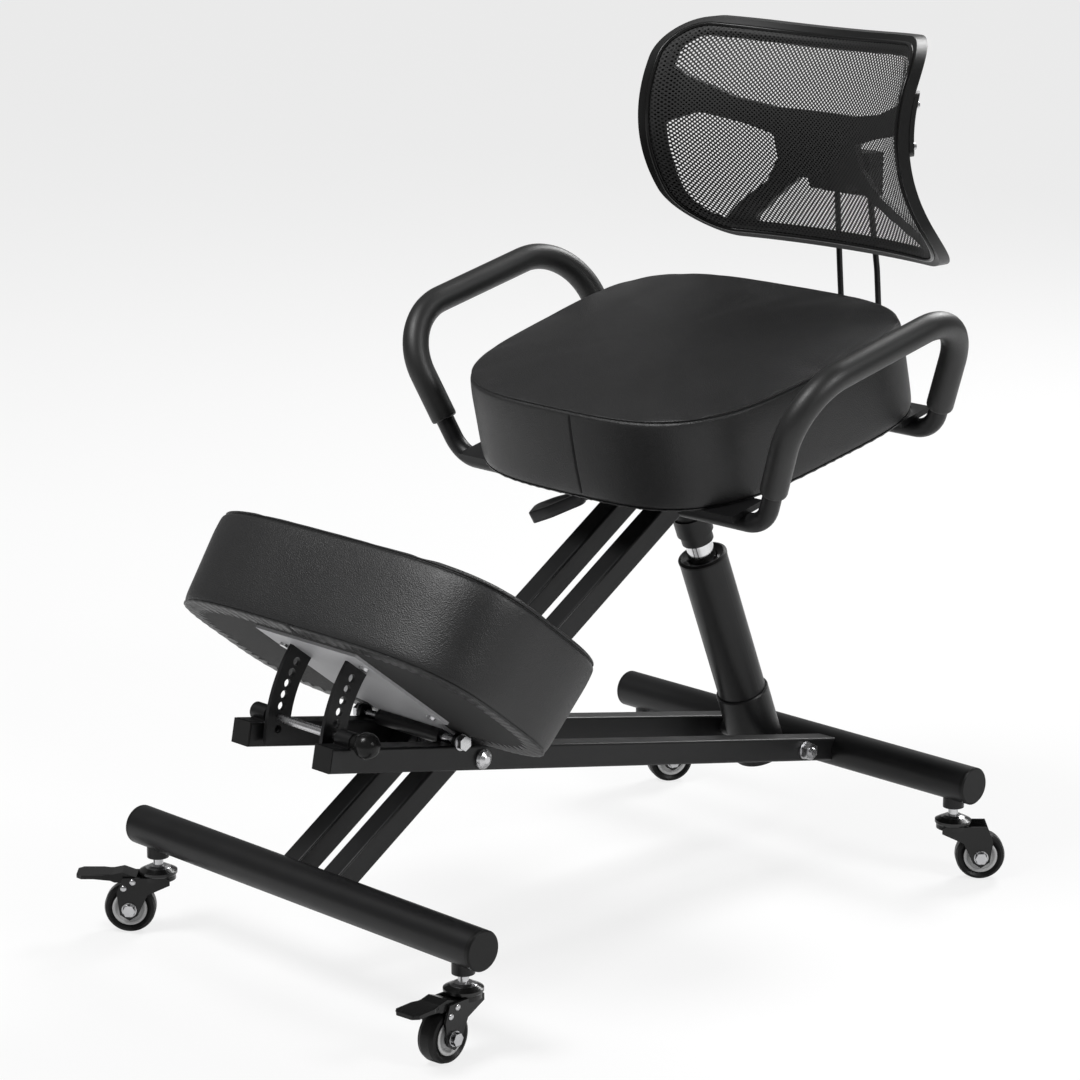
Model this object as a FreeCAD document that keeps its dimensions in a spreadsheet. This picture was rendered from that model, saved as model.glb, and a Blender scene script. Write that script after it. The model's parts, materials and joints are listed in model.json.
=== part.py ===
import FreeCAD, Part
import math
import os
import re
import Sketcher
from FreeCAD import Placement, Rotation, Vector

# Kneeling chair with a gas lift, knee pad, armrests and mesh backrest.
# Row frame: +Z up, the sitter faces -Y, the floor is z = 0, lengths in millimetres.

DIMENSIONS = [
    ("rear_bar_place", 330.4, "rear foot bar axis behind the middle of the chair"),
    ("wheelbase", 677.6, "distance between the two foot bar axes"),
    ("bar_height", 102.5, "foot bar axis above the floor"),
    ("bar_radius", 19.2, "outer radius of a foot bar"),
    ("bar_wall", 2.0, "wall of a foot bar"),
    ("bar_half", 240.5, "half length of a foot bar tube"),
    ("cap_depth", 5.0, "visible thickness of a foot bar cap"),
    ("rail_side", 24.0, "side of the square rail tube"),
    ("rail_wall", 1.5, "wall of the square rail tube"),
    ("base_rail_place", 57.5, "sideways place of a base rail's centre line"),
    ("base_rail_fall", 11.31, "slope of the base rails down to the rear bar"),
    ("base_rail_length", 713.7, "base rail from its front end to the rear bar axis"),
    ("leg_rail_place", 28.6, "sideways place of a leg rail's centre line"),
    ("leg_slope", 33.1, "slope of the leg rails up to the seat"),
    ("leg_drop", 4.2, "leg rail centre line below the front bar axis"),
    ("leg_pivot", 195.0, "front bar to the scissor pivot, along the leg rail"),
    ("leg_end", 14.0, "leg rail beyond the seat pivot"),
    ("leg_seat_pivot", 554.6, "front bar to the seat pivot, along the leg rail"),
    ("bolt_radius", 5.0, "radius of the long pivot bolts"),
    ("bolt_play", 0.08, "running clearance round a pivot bolt"),
    ("socket_back", 60.7, "gas column pivot in front of the rear bar axis, along the base rail"),
    ("column_lean", 21.85, "gas column lean towards the front"),
    ("socket_radius", 27.5, "outer radius of the gas column socket"),
    ("column_radius", 25.0, "outer radius of the gas column"),
    ("column_top", 223.0, "gas column pivot to the top of the column"),
    ("piston_radius", 14.0, "radius of the chrome gas cylinder"),
    ("hub_start", 244.0, "gas column pivot to the bottom of the seat hub"),
    ("seat_tilt", 12.9, "forward tilt of the seat"),
    ("seat_forward", 162.1, "seat centre in front of the rear bar axis"),
    ("seat_height", 456.5, "height of the middle of the seat's underside"),
    ("seat_half_width", 194.7, "half width of the seat half way along"),
    ("seat_flare", 11.1, "extra half width at the back of the seat"),
    ("seat_half_depth", 176.5, "half depth of the seat"),
    ("seat_thickness", 91.0, "height of the seat's top seam"),
    ("knee_tilt", 37.9, "tilt of the knee pad, its front edge high"),
    ("knee_setback", 94.34, "knee pad centre behind the base rail front end"),
    ("knee_rise", 45.23, "middle of the knee pad's underside above the base rail front end"),
    ("knee_half_width", 204.0, "half width of the knee pad"),
    ("knee_half_depth", 110.0, "half depth of the knee pad"),
    ("knee_thickness", 94.0, "height of the knee pad's top seam"),
    ("board_thickness", 12.0, "plywood board inside a cushion"),
    ("arm_tube_radius", 9.5, "radius of the armrest tube"),
    ("grip_radius", 13.5, "radius of the foam grip"),
    ("wheel_radius", 25.0, "caster wheel radius"),
    ("wheel_trail", 28.0, "caster axle behind its stem"),
    ("stem_place", 218.9, "sideways place of a caster stem"),
    ("rod_radius", 3.1, "radius of a backrest rod"),
    ("back_radius", 279.0, "sideways curve of the backrest"),
    ("back_middle", 731.6, "height of the middle of the backrest"),
    ("back_half_height", 110.8, "half height of the backrest"),
]

doc = FreeCAD.newDocument("kneeling_chair")
sheet = doc.addObject("Spreadsheet::Sheet", "Dimensions")
for row, (alias, amount, words) in enumerate(DIMENSIONS, start=1):
    sheet.set("A%d" % row, words)
    sheet.set("B%d" % row, str(amount))
    sheet.setAlias("B%d" % row, alias)
doc.recompute()

D = {alias: float(sheet.get(alias)) for alias, amount, words in DIMENSIONS}
ALIAS = re.compile(r"[a-z]+(?:_[a-z]+)+")
NODES = {}

X_AXIS = Vector(1, 0, 0)
Y_AXIS = Vector(0, 1, 0)
Z_AXIS = Vector(0, 0, 1)
LEFT_RIGHT = (("left", 1), ("right", -1))


# Helpers that make document objects

def bind(thing, prop, amount):
    """Sets a size, or binds it when it is written with the sheet's words."""
    if isinstance(amount, str):
        thing.setExpression(prop, ALIAS.sub(lambda word: "Dimensions." + word.group(0), amount))
    else:
        setattr(thing, prop, amount)


def along(axis, start):
    """A placement whose Z runs along the axis from the start point."""
    return Placement(start, Rotation(Z_AXIS, axis))


def cylinder(radius, length, start=Vector(), axis=Z_AXIS):
    part = doc.addObject("Part::Cylinder", "cylinder")
    bind(part, "Radius", radius)
    bind(part, "Height", length)
    part.Placement = along(axis, start)
    return part


def cone(low, high, length, start=Vector(), axis=Z_AXIS):
    part = doc.addObject("Part::Cone", "cone")
    bind(part, "Radius1", low)
    bind(part, "Radius2", high)
    bind(part, "Height", length)
    part.Placement = along(axis, start)
    return part


def box(width, depth, height, corner):
    part = doc.addObject("Part::Box", "block")
    bind(part, "Length", width)
    bind(part, "Width", depth)
    bind(part, "Height", height)
    part.Placement = Placement(corner, Rotation())
    return part


def hexagon(across, length, start, axis):
    part = doc.addObject("Part::Prism", "hexagon")
    part.Polygon = 6
    part.Circumradius = across / math.sqrt(3)
    bind(part, "Height", length)
    part.Placement = along(axis, start)
    return part


def ball(radius, centre):
    part = doc.addObject("Part::Sphere", "ball")
    bind(part, "Radius", radius)
    part.Placement = Placement(centre, Rotation())
    return part


def fuse(parts):
    if len(parts) == 1:
        return parts[0]
    part = doc.addObject("Part::MultiFuse", "joined")
    part.Shapes = parts
    part.Refine = True
    return part


def group(parts):
    part = doc.addObject("Part::Compound", "group")
    part.Links = parts
    return part


def cut(base, tools):
    part = doc.addObject("Part::Cut", "cut")
    part.Base = base
    part.Tool = fuse(tools)
    return part


def solid(shape):
    part = doc.addObject("Part::Feature", "solid")
    part.Shape = shape
    return part


def node(label, part, frame=Placement()):
    """Names a finished sub-part and puts it in its place."""
    part.Label = label
    part.Placement = frame.multiply(part.Placement)
    NODES[label] = part
    return part


def sketch(owner, role, name):
    plane = [item for item in owner.Origin.OriginFeatures if item.Role == role][0]
    drawing = owner.newObject("Sketcher::SketchObject", name)
    drawing.AttachmentSupport = (plane, "")
    drawing.MapMode = "FlatFace"
    return drawing


def number(amount):
    """The value of a size, worked out by the sheet when it is written in words."""
    if not isinstance(amount, str):
        return float(amount)
    sheet.set("D1", "=" + amount)
    sheet.recompute()
    return float(sheet.get("D1"))


def draw_outline(drawing, points):
    """A closed outline of straight lines with each corner held by its two coordinates."""
    places = [Vector(number(across), number(up), 0) for across, up in points]
    count = len(places)
    for i in range(count):
        drawing.addGeometry(Part.LineSegment(places[i], places[(i + 1) % count]))
    for i in range(count):
        drawing.addConstraint(Sketcher.Constraint("Coincident", i, 2, (i + 1) % count, 1))
    for i in range(count):
        for kind, amount in zip(("DistanceX", "DistanceY"), points[i]):
            rule = drawing.addConstraint(Sketcher.Constraint(kind, -1, 1, i, 1, number(amount)))
            if isinstance(amount, str):
                bind(drawing, "Constraints[%d]" % rule, amount)


def draw_circle(drawing, centre, radius):
    """A circle held by its centre and its radius."""
    across, up = centre
    size = number(radius)
    index = drawing.addGeometry(Part.Circle(Vector(number(across), number(up), 0), Z_AXIS, size))
    drawing.addConstraint(Sketcher.Constraint("DistanceX", -1, 1, index, 3, number(across)))
    drawing.addConstraint(Sketcher.Constraint("DistanceY", -1, 1, index, 3, number(up)))
    rule = drawing.addConstraint(Sketcher.Constraint("Radius", index, size))
    if isinstance(radius, str):
        bind(drawing, "Constraints[%d]" % rule, radius)


def turned(label, outline, frame, name_node=True):
    """A body turned about Z from an outline of (radius, height) corners."""
    owner = doc.addObject("PartDesign::Body", label)
    drawing = sketch(owner, "XZ_Plane", label + "_outline")
    draw_outline(drawing, outline)
    turn = owner.newObject("PartDesign::Revolution", label + "_turn")
    turn.Profile = drawing
    turn.ReferenceAxis = (drawing, ["V_Axis"])
    turn.Angle = 360.0
    owner.Placement = frame
    if name_node:
        owner.Label = label
        NODES[label] = owner
    return owner


def padded(label, role, outline, thickness, offset=0.0, holes=(), frame=Placement(), name_node=True):
    """A flat body cut from plate: an outline and its holes, padded to a thickness."""
    owner = doc.addObject("PartDesign::Body", label)
    drawing = sketch(owner, role, label + "_outline")
    drawing.AttachmentOffset = Placement(Vector(0, 0, offset), Rotation())
    if isinstance(outline, tuple):
        draw_circle(drawing, (0.0, 0.0), outline[0])
    else:
        draw_outline(drawing, outline)
    for centre, radius in holes:
        draw_circle(drawing, centre, radius)
    pad = owner.newObject("PartDesign::Pad", label + "_pad")
    pad.Profile = drawing
    bind(pad, "Length", thickness)
    owner.Placement = frame
    if name_node:
        owner.Label = label
        NODES[label] = owner
    return owner


def rounded_path(points, radii):
    """Straight runs joined by tangent arcs, through a list of corners."""
    edges = []
    last = points[0]
    for corner, after, radius in zip(points[1:-1], points[2:], radii):
        back = (last - corner).normalize()
        ahead = (after - corner).normalize()
        half = back.getAngle(ahead) / 2
        reach = radius / math.tan(half)
        start = corner + back * reach
        finish = corner + ahead * reach
        middle_way = (back + ahead).normalize()
        middle = corner + middle_way * (radius / math.sin(half) - radius)
        edges.append(Part.LineSegment(last, start).toShape())
        edges.append(Part.Arc(start, middle, finish).toShape())
        last = finish
    edges.append(Part.LineSegment(last, points[-1]).toShape())
    return Part.Wire(edges)


def swept(path, radius):
    """A round bar along a path."""
    first = path.Edges[0]
    start = first.valueAt(first.FirstParameter)
    way = first.tangentAt(first.FirstParameter)
    ring = Part.Wire([Part.Circle(start, way, radius).toShape()])
    return path.makePipeShell([ring], True, True, 2)


# Frames of the tilted parts

BAR_Y = D["rear_bar_place"]
FRONT_Y = BAR_Y - D["wheelbase"]


def tilted(place_y, height, angle):
    return Placement(Vector(0, place_y, height), Rotation(X_AXIS, angle))


def beyond(place_y, height, angle, distance):
    """A point a distance along a line that climbs towards the back at an angle."""
    slope = math.radians(angle)
    return Vector(0, place_y + distance * math.cos(slope), height + distance * math.sin(slope))


BASE_FRONT = beyond(BAR_Y, D["bar_height"], 180 - D["base_rail_fall"], D["base_rail_length"])
BASE_FRAME = tilted(BASE_FRONT.y, BASE_FRONT.z, -D["base_rail_fall"])
LEG_FRAME = tilted(FRONT_Y, D["bar_height"] - D["leg_drop"], D["leg_slope"])
SCISSOR = LEG_FRAME.multVec(Vector(0, D["leg_pivot"], 0))
SEAT_PIVOT = LEG_FRAME.multVec(Vector(0, D["leg_seat_pivot"], 0))
COLUMN_PIVOT = BASE_FRAME.multVec(Vector(0, D["base_rail_length"] - D["socket_back"], 0))
COLUMN_FRAME = tilted(COLUMN_PIVOT.y, COLUMN_PIVOT.z, D["column_lean"])
SEAT_FRAME = tilted(BAR_Y - D["seat_forward"], D["seat_height"], D["seat_tilt"])
KNEE_FRAME = tilted(BASE_FRONT.y + D["knee_setback"], BASE_FRONT.z + D["knee_rise"], -D["knee_tilt"])
KNEE_AXIS = KNEE_FRAME.multVec(Vector(0, 88.0, -8.7))
LOCK_PIN = KNEE_FRAME.multVec(Vector(0, -32.4, -66.7))


# Foot bars, caps and caster stems

STEM_NUT_RADIUS = 10.7
STEM_NUT_HEIGHT = 11.0
STEM_RADIUS = 5.0
KINGPIN_RADIUS = 4.0
RACE_UNDER = 58.0


def foot_bar(label, place_y):
    """A round tube with a nut welded under each end for the caster stem."""
    centre = D["bar_height"]
    tube = cylinder("bar_radius", "2 * bar_half", Vector(-D["bar_half"], place_y, centre), X_AXIS)
    bore = cylinder("bar_radius - bar_wall", "2 * bar_half + 2", Vector(-D["bar_half"] - 1, place_y, centre), X_AXIS)
    low = centre - D["bar_radius"] + 3 - STEM_NUT_HEIGHT
    nuts = [cylinder(STEM_NUT_RADIUS, STEM_NUT_HEIGHT, Vector(side * D["stem_place"], place_y, low))
            for name, side in LEFT_RIGHT]
    threads = [cylinder(STEM_RADIUS, 2 * STEM_NUT_HEIGHT, Vector(side * D["stem_place"], place_y, low - 1))
               for name, side in LEFT_RIGHT]
    shell = cut(fuse([tube] + nuts), [bore] + threads)
    return node(label, shell)


def bar_caps(label, place_y):
    """Two plastic plugs: a domed flat cap with a groove, and a shank inside the tube."""
    plugs = []
    for name, side in LEFT_RIGHT:
        way = X_AXIS * side
        face = Vector(side * D["bar_half"], place_y, D["bar_height"])
        rim = cylinder("bar_radius", "cap_depth - 1.5", face, way)
        edge = cone("bar_radius", "bar_radius - 1.5", 1.5, face + way * (D["cap_depth"] - 1.5), way)
        shank = cylinder("bar_radius - bar_wall - 0.1", 16.0, face - way * 16.0, way)
        plugs.append(fuse([rim, edge, shank]))
    return node(label, group(plugs))


def caster_mounts(label, place_y):
    """The fixed upper part of two casters: threaded stem, upper ball race and kingpin."""
    stems = []
    for name, side in LEFT_RIGHT:
        foot = Vector(side * D["stem_place"], place_y, 0)
        top = D["bar_height"] - D["bar_radius"] - 1
        outline = [(0.0, RACE_UNDER - 9.3), (6.5, RACE_UNDER - 9.3), (6.5, RACE_UNDER - 6.3),
                   (KINGPIN_RADIUS, RACE_UNDER - 5.3), (KINGPIN_RADIUS, RACE_UNDER),
                   (17.5, RACE_UNDER), (18.5, RACE_UNDER + 1.5), (18.5, RACE_UNDER + 4.0),
                   (12.0, RACE_UNDER + 7.5), (8.5, RACE_UNDER + 9.0), (STEM_RADIUS, RACE_UNDER + 9.0),
                   (STEM_RADIUS, top), (0.0, top)]
        stems.append(turned(label + "_" + name, outline, Placement(foot, Rotation()), False))
    return node(label, group(stems))


for end, place_y in (("rear", BAR_Y), ("front", FRONT_Y)):
    foot_bar(end + "_foot_bar", place_y)
    bar_caps(end + "_bar_caps", place_y)
    caster_mounts(end + "_caster_mounts", place_y)


# Square rail tubes

RAIL_CORNER = 2.5


def square_tube(length, place_x):
    """A square tube along Y with rounded long edges."""
    half = D["rail_side"] / 2
    wall = D["rail_wall"]
    bar = box("rail_side", length, "rail_side", Vector(place_x - half, 0, -half))
    rounded = doc.addObject("Part::Fillet", "rounded_tube")
    rounded.Base = bar
    doc.recompute()
    long_edges = [i for i, edge in enumerate(bar.Shape.Edges, start=1)
                  if abs(edge.tangentAt(edge.FirstParameter).y) > 0.9]
    rounded.Edges = [(i, RAIL_CORNER, RAIL_CORNER) for i in long_edges]
    inner = box("rail_side - 2 * rail_wall", length + " + 2", "rail_side - 2 * rail_wall",
                Vector(place_x - half + wall, -1.0, -half + wall))
    return cut(rounded, [inner])


def local(frame, point):
    return frame.inverse().multVec(point)


def cross_hole(radius, point, reach=200.0):
    """A cutter for a hole that runs sideways through both walls."""
    return cylinder(radius, reach, point - X_AXIS * (reach / 2), X_AXIS)


KNEE_BOLT_RADIUS = 4.0
LOCK_PIN_RADIUS = 4.0
LUG_THICKNESS = 5.0
LUG_INSIDE = D["base_rail_place"] + D["rail_side"] / 2 - LUG_THICKNESS
BOSS_LENGTH = 20.0
BOSS_INSIDE = 50.0


def base_rail(name, side):
    """Base rail with the lug for the knee pad bolt and the boss for the lock pin."""
    place_x = side * D["base_rail_place"]
    half = D["rail_side"] / 2
    tube = square_tube("base_rail_length", place_x)
    knee = local(BASE_FRAME, KNEE_AXIS)
    pin = local(BASE_FRAME, LOCK_PIN)
    lug_x = side * (LUG_INSIDE + LUG_THICKNESS / 2) - LUG_THICKNESS / 2
    lug = cylinder(8.0, LUG_THICKNESS, Vector(lug_x, knee.y, knee.z), X_AXIS)
    foot = box(LUG_THICKNESS, 16.0, knee.z - half, Vector(lug_x, knee.y - 8.0, half))
    boss_x = side * (BOSS_INSIDE + BOSS_LENGTH / 2) - BOSS_LENGTH / 2
    boss = cylinder(8.5, BOSS_LENGTH, Vector(boss_x, pin.y, pin.z), X_AXIS)
    base = box(BOSS_LENGTH, 14.0, pin.z - half, Vector(boss_x, pin.y - 7.0, half))
    welded = cut(fuse([lug, foot, boss, base]), [square_tube_envelope(place_x)])
    holes = [
        cylinder("bar_radius", 100.0, Vector(place_x - 50.0, D["base_rail_length"], 0), X_AXIS),
        cross_hole("bolt_radius + bolt_play", local(BASE_FRAME, SCISSOR)),
        cross_hole("bolt_radius", local(BASE_FRAME, COLUMN_PIVOT)),
        cross_hole(KNEE_BOLT_RADIUS, knee),
        cross_hole(LOCK_PIN_RADIUS + 0.08, pin),
    ]
    return node("base_rail_" + name, cut(fuse([tube, welded]), holes), BASE_FRAME)


def square_tube_envelope(place_x):
    half = D["rail_side"] / 2
    return box("rail_side", "base_rail_length", "rail_side", Vector(place_x - half, 0, -half))


def leg_rail(name, side):
    """Leg rail from the front bar to the seat pivot."""
    place_x = side * D["leg_rail_place"]
    tube = square_tube("leg_seat_pivot + leg_end", place_x)
    bar = local(LEG_FRAME, Vector(0, FRONT_Y, D["bar_height"]))
    holes = [
        cylinder("bar_radius", 100.0, Vector(place_x - 50.0, bar.y, bar.z), X_AXIS),
        cross_hole("bolt_radius + bolt_play", Vector(0, D["leg_pivot"], 0)),
        cross_hole(4.0, Vector(0, D["leg_seat_pivot"], 0)),
    ]
    return node("leg_rail_" + name, cut(tube, holes), LEG_FRAME)


for name, side in LEFT_RIGHT:
    base_rail(name, side)
    leg_rail(name, side)


def rail_plugs():
    """Plastic plugs in the front ends of the base rails."""
    half = D["rail_side"] / 2
    inner = half - D["rail_wall"]
    plugs = []
    for name, side in LEFT_RIGHT:
        place_x = side * D["base_rail_place"]
        flange = box(2 * half - 1, 2.0, 2 * half - 1, Vector(place_x - half + 0.5, -2.0, -half + 0.5))
        shank = box(2 * inner - 0.2, 14.0, 2 * inner - 0.2, Vector(place_x - inner + 0.1, 0.0, -inner + 0.1))
        plugs.append(fuse([flange, shank]))
    return node("rail_plugs", group(plugs), BASE_FRAME)


rail_plugs()


# Long bolts across the rails

def dome(radius, height, start, way):
    """A dome head: a low cone frustum under a smaller one."""
    skirt = cylinder(radius, height * 0.35, start, way)
    shoulder = cone(radius, radius * 0.8, height * 0.3, start + way * (height * 0.35), way)
    crown = cone(radius * 0.8, radius * 0.35, height * 0.35, start + way * (height * 0.65), way)
    return [skirt, shoulder, crown]


def cross_bolt(label, radius, reach, point, heads):
    """A shank across the chair with a head at each end."""
    shank = cylinder(radius, 2 * reach, point - X_AXIS * reach, X_AXIS)
    parts = [shank]
    for side in (1, -1):
        parts += heads(point + X_AXIS * (side * reach), X_AXIS * side)
    return node(label, fuse(parts))


RAIL_OUTSIDE = D["base_rail_place"] + D["rail_side"] / 2
LEG_OUTSIDE = D["leg_rail_place"] + D["rail_side"] / 2


def dome_heads(start, way):
    return dome(9.7, 7.0, start, way)


def nut_heads(start, way):
    washer = cylinder(9.5, 1.5, start, way)
    nut = hexagon(16.0, 8.0, start + way * 1.5, way)
    end = cone("bolt_radius", "bolt_radius - 1", 3.0, start + way * 9.5, way)
    return [washer, nut, end]


def hex_heads(start, way):
    washer = cylinder(8.0, 1.2, start, way)
    return [washer, hexagon(13.0, 5.5, start + way * 1.2, way)]


cross_bolt("scissor_bolt", "bolt_radius", RAIL_OUTSIDE, SCISSOR, dome_heads)
cross_bolt("socket_bolt", "bolt_radius", RAIL_OUTSIDE, COLUMN_PIVOT, nut_heads)
cross_bolt("knee_bolt", KNEE_BOLT_RADIUS, LUG_INSIDE + LUG_THICKNESS, KNEE_AXIS, hex_heads)
cross_bolt("seat_pivot_bolt", 4.0, LEG_OUTSIDE, SEAT_PIVOT, hex_heads)


def pivot_spacers():
    """Washers between base and leg rails, and sleeves either side of the column socket."""
    rings = []
    inside = D["base_rail_place"] - D["rail_side"] / 2
    for name, side in LEFT_RIGHT:
        spans = ((SCISSOR, LEG_OUTSIDE + 0.3, "bolt_radius + bolt_play"),
                 (COLUMN_PIVOT, D["socket_radius"] + 0.3, "bolt_radius"))
        for point, start, bore in spans:
            near = point + X_AXIS * (side * start)
            outer = cylinder(8.0, inside - start, near, X_AXIS * side)
            inner = cylinder(bore, 40.0, near - X_AXIS * (side * 5.0), X_AXIS * side)
            rings.append(cut(outer, [inner]))
    return node("pivot_spacers", group(rings))


pivot_spacers()


# Gas column: socket, outer tube, guide bush and piston rod

def gas_column():
    radius = "column_radius"
    wall = 1.5
    socket = turned("gas_socket_shell", [("column_radius + 0.05", -20.0), ("socket_radius", -20.0),
                                         ("socket_radius", 58.5), ("socket_radius - 1", 59.8),
                                         ("column_radius + 0.05", 59.8)], Placement(), False)
    node("gas_socket", cut(socket, [cross_hole("bolt_radius + bolt_play", Vector())]), COLUMN_FRAME)
    floor = 12.0
    turned("gas_outer_tube", [(KINGPIN_RADIUS, floor), (radius, floor), (radius, "column_top"),
                              ("column_radius - %g" % wall, "column_top"),
                              ("column_radius - %g" % wall, floor + 3), (KINGPIN_RADIUS, floor + 3)], COLUMN_FRAME)
    bush_out = "column_radius - %g" % wall
    turned("gas_guide_bush", [("piston_radius + 0.08", 140.0), (bush_out, 140.0), (bush_out, "column_top"),
                              ("column_radius + 0.5", "column_top"), ("column_radius + 0.5", "column_top + 2"),
                              ("column_radius - 2.5", "column_top + 3.5"), ("piston_radius + 2", "column_top + 1"),
                              ("piston_radius + 0.08", "column_top - 2")], COLUMN_FRAME)
    turned("gas_piston_rod", [(0.0, 8.5), (6.5, 8.5), (6.5, floor - 0.2), (KINGPIN_RADIUS, floor - 0.2),
                              (KINGPIN_RADIUS, floor + 3), (9.0, floor + 3), (9.0, floor + 7), (5.0, floor + 7),
                              (5.0, 150.0), (11.9, 150.0), (11.9, 160.0), (0.0, 160.0)], COLUMN_FRAME)


gas_column()


# Chrome gas cylinder with its taper, and the valve button on top

TAPER_LENGTH = 56.0
TAPER_LOSS = 1.4


def gas_cylinder():
    top = "hub_start + %g" % TAPER_LENGTH
    end = "piston_radius - %g" % TAPER_LOSS
    turned("gas_cylinder", [(5.05, 60.0), ("piston_radius", 60.0), ("piston_radius", "hub_start"), (end, top),
                            (4.05, top), (4.05, "hub_start + 44"), (12.0, "hub_start + 40"), (12.0, 66.0),
                            (5.05, 66.0)], COLUMN_FRAME)
    turned("valve_button", [(0.0, "hub_start + 46"), (4.0, "hub_start + 46"), (4.0, "hub_start + 63"),
                            (3.2, "hub_start + 64.3"), (0.0, "hub_start + 64.3")], COLUMN_FRAME)


gas_cylinder()


# Seat mechanism: plate, pivot cheeks, hub and lever lugs

COLUMN_IN_SEAT = SEAT_FRAME.inverse().multiply(COLUMN_FRAME)
COLUMN_WAY = COLUMN_IN_SEAT.Rotation.multVec(Z_AXIS)
HUB_RADIUS = 16.5
LEVER_ALONG = 313.0
LEVER_PIN = Vector(-23.0, 0, LEVER_ALONG)
PLATE_THICKNESS = 3.0
ARM_BACK = 124.0
STRAP_THICKNESS = 6.0
STRAP_WIDTH = 44.0
STRAP_BOLT_SPREAD = 15.5
BRACKET_THICKNESS = 4.0
MECHANISM_BOLTS = [(side * 80.0, along_seat) for side in (1, -1) for along_seat in (-80.0, 40.0)]
STRAP_BOLTS = [(side * 84.0, end * (ARM_BACK + shift * STRAP_BOLT_SPREAD))
               for side in (1, -1) for end in (1, -1) for shift in (-1, 1)]
BRACKET_BOLTS = [(0.0, 119.0), (0.0, 141.0)]
BOLT_HOLE = 3.0


def in_column(x, y, z):
    """A point given in the gas column's frame, told in the seat's frame."""
    return COLUMN_IN_SEAT.multVec(Vector(x, y, z))


def column_box(width, depth, height, corner):
    """A block lined up with the gas column, told in the seat's frame."""
    part = box(width, depth, height, Vector())
    part.Placement = COLUMN_IN_SEAT.multiply(Placement(corner, Rotation()))
    return part


def seat_mechanism():
    plate = padded("mechanism_plate", "XY_Plane",
                   [(-95.0, -85.0), (-85.0, -95.0), (85.0, -95.0), (95.0, -85.0), (95.0, 45.0), (85.0, 55.0),
                    (-85.0, 55.0), (-95.0, 45.0)], PLATE_THICKNESS, -PLATE_THICKNESS,
                   [(place, BOLT_HOLE) for place in MECHANISM_BOLTS], name_node=False)
    pivot = local(SEAT_FRAME, SEAT_PIVOT)
    cheeks = []
    for side in (1, -1):
        inner_x = side * 13.0 - 2.0
        cheeks.append(cylinder(12.0, 4.0, Vector(inner_x, pivot.y, pivot.z), X_AXIS))
        cheeks.append(box(4.0, 36.0, -pivot.z - 1.0, Vector(inner_x, pivot.y - 12.0, pivot.z)))
    hub = cylinder(HUB_RADIUS, 115.0, in_column(0, 0, D["hub_start"]), COLUMN_WAY)
    collar = cylinder(19.0, 20.0, in_column(0, 0, D["hub_start"] + 11.0), COLUMN_WAY)
    above = box(200.0, 200.0, 60.0, Vector(-100.0, -100.0, -1.5))
    lugs = [column_box(16.0, 4.4, 16.0, Vector(-30.0, depth, LEVER_ALONG - 8.0)) for depth in (4.6, -9.0)]
    joined = fuse([plate, cut(fuse([hub, collar] + lugs), [above])] + cheeks)
    taper = cone("piston_radius", "piston_radius - %g" % TAPER_LOSS, TAPER_LENGTH,
                 in_column(0, 0, D["hub_start"]), COLUMN_WAY)
    chamber = cylinder(12.6, 22.0, in_column(0, 0, D["hub_start"] + TAPER_LENGTH), COLUMN_WAY)
    slot = column_box(42.0, 9.2, 16.0, Vector(-31.0, -4.6, LEVER_ALONG - 8.0))
    pivot_hole = cross_hole(5.5, pivot, 60.0)
    body_shape = cut(joined, [taper, chamber, slot, pivot_hole])
    pin = cylinder(2.5, 20.0, in_column(LEVER_PIN.x, -10.0, LEVER_PIN.z), COLUMN_IN_SEAT.Rotation.multVec(Y_AXIS))
    return node("seat_mechanism", fuse([body_shape, pin]), SEAT_FRAME)


seat_mechanism()


# Height lever with its paddle

LEVER_RADIUS = 4.0


def lever():
    inner = in_column(6.0, 0, LEVER_ALONG)
    elbow = in_column(-36.0, 0, LEVER_ALONG)
    wrist = Vector(-120.0, -51.0, -75.0)
    tip = Vector(-172.0, -76.0, -94.0)
    grip_way = (tip - wrist).normalize()
    tail = wrist + grip_way * 20.0
    rod = solid(swept(rounded_path([inner, elbow, wrist, tail], [22.0, 30.0]), LEVER_RADIUS))
    pin_hole = cylinder(2.56, 20.0, in_column(LEVER_PIN.x, -10.0, LEVER_PIN.z),
                        COLUMN_IN_SEAT.Rotation.multVec(Y_AXIS))
    node("lever_rod", cut(rod, [pin_hole]), SEAT_FRAME)
    side_way = Z_AXIS.cross(grip_way).normalize()
    up_way = grip_way.cross(side_way)
    paddle_frame = Placement(FreeCAD.Matrix(grip_way.x, side_way.x, up_way.x, wrist.x,
                                            grip_way.y, side_way.y, up_way.y, wrist.y,
                                            grip_way.z, side_way.z, up_way.z, wrist.z, 0, 0, 0, 1))
    length = (tip - wrist).Length
    sections = ((0.0, 6.5, 6.5), (10.0, 8.0, 6.0), (0.45 * length, 11.5, 4.5), (0.8 * length, 12.5, 4.0),
                (length, 9.0, 3.0))
    rings = []
    for reach, half_width, half_height in sections:
        flat = half_height * 0.6
        corners = [Vector(reach, -half_width, -flat), Vector(reach, -half_width + flat, -half_height),
                   Vector(reach, half_width - flat, -half_height), Vector(reach, half_width, -flat),
                   Vector(reach, half_width, flat), Vector(reach, half_width - flat, half_height),
                   Vector(reach, -half_width + flat, half_height), Vector(reach, -half_width, flat)]
        rings.append(Part.makePolygon(corners + corners[:1]))
    grip = solid(Part.makeLoft(rings, True, True))
    grip.Placement = paddle_frame
    hollow = solid(swept(rounded_path([inner, elbow, wrist, tail], [22.0, 30.0]), LEVER_RADIUS))
    node("lever_paddle", cut(grip, [hollow]), SEAT_FRAME)


lever()


# Cushions with their boards

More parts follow.
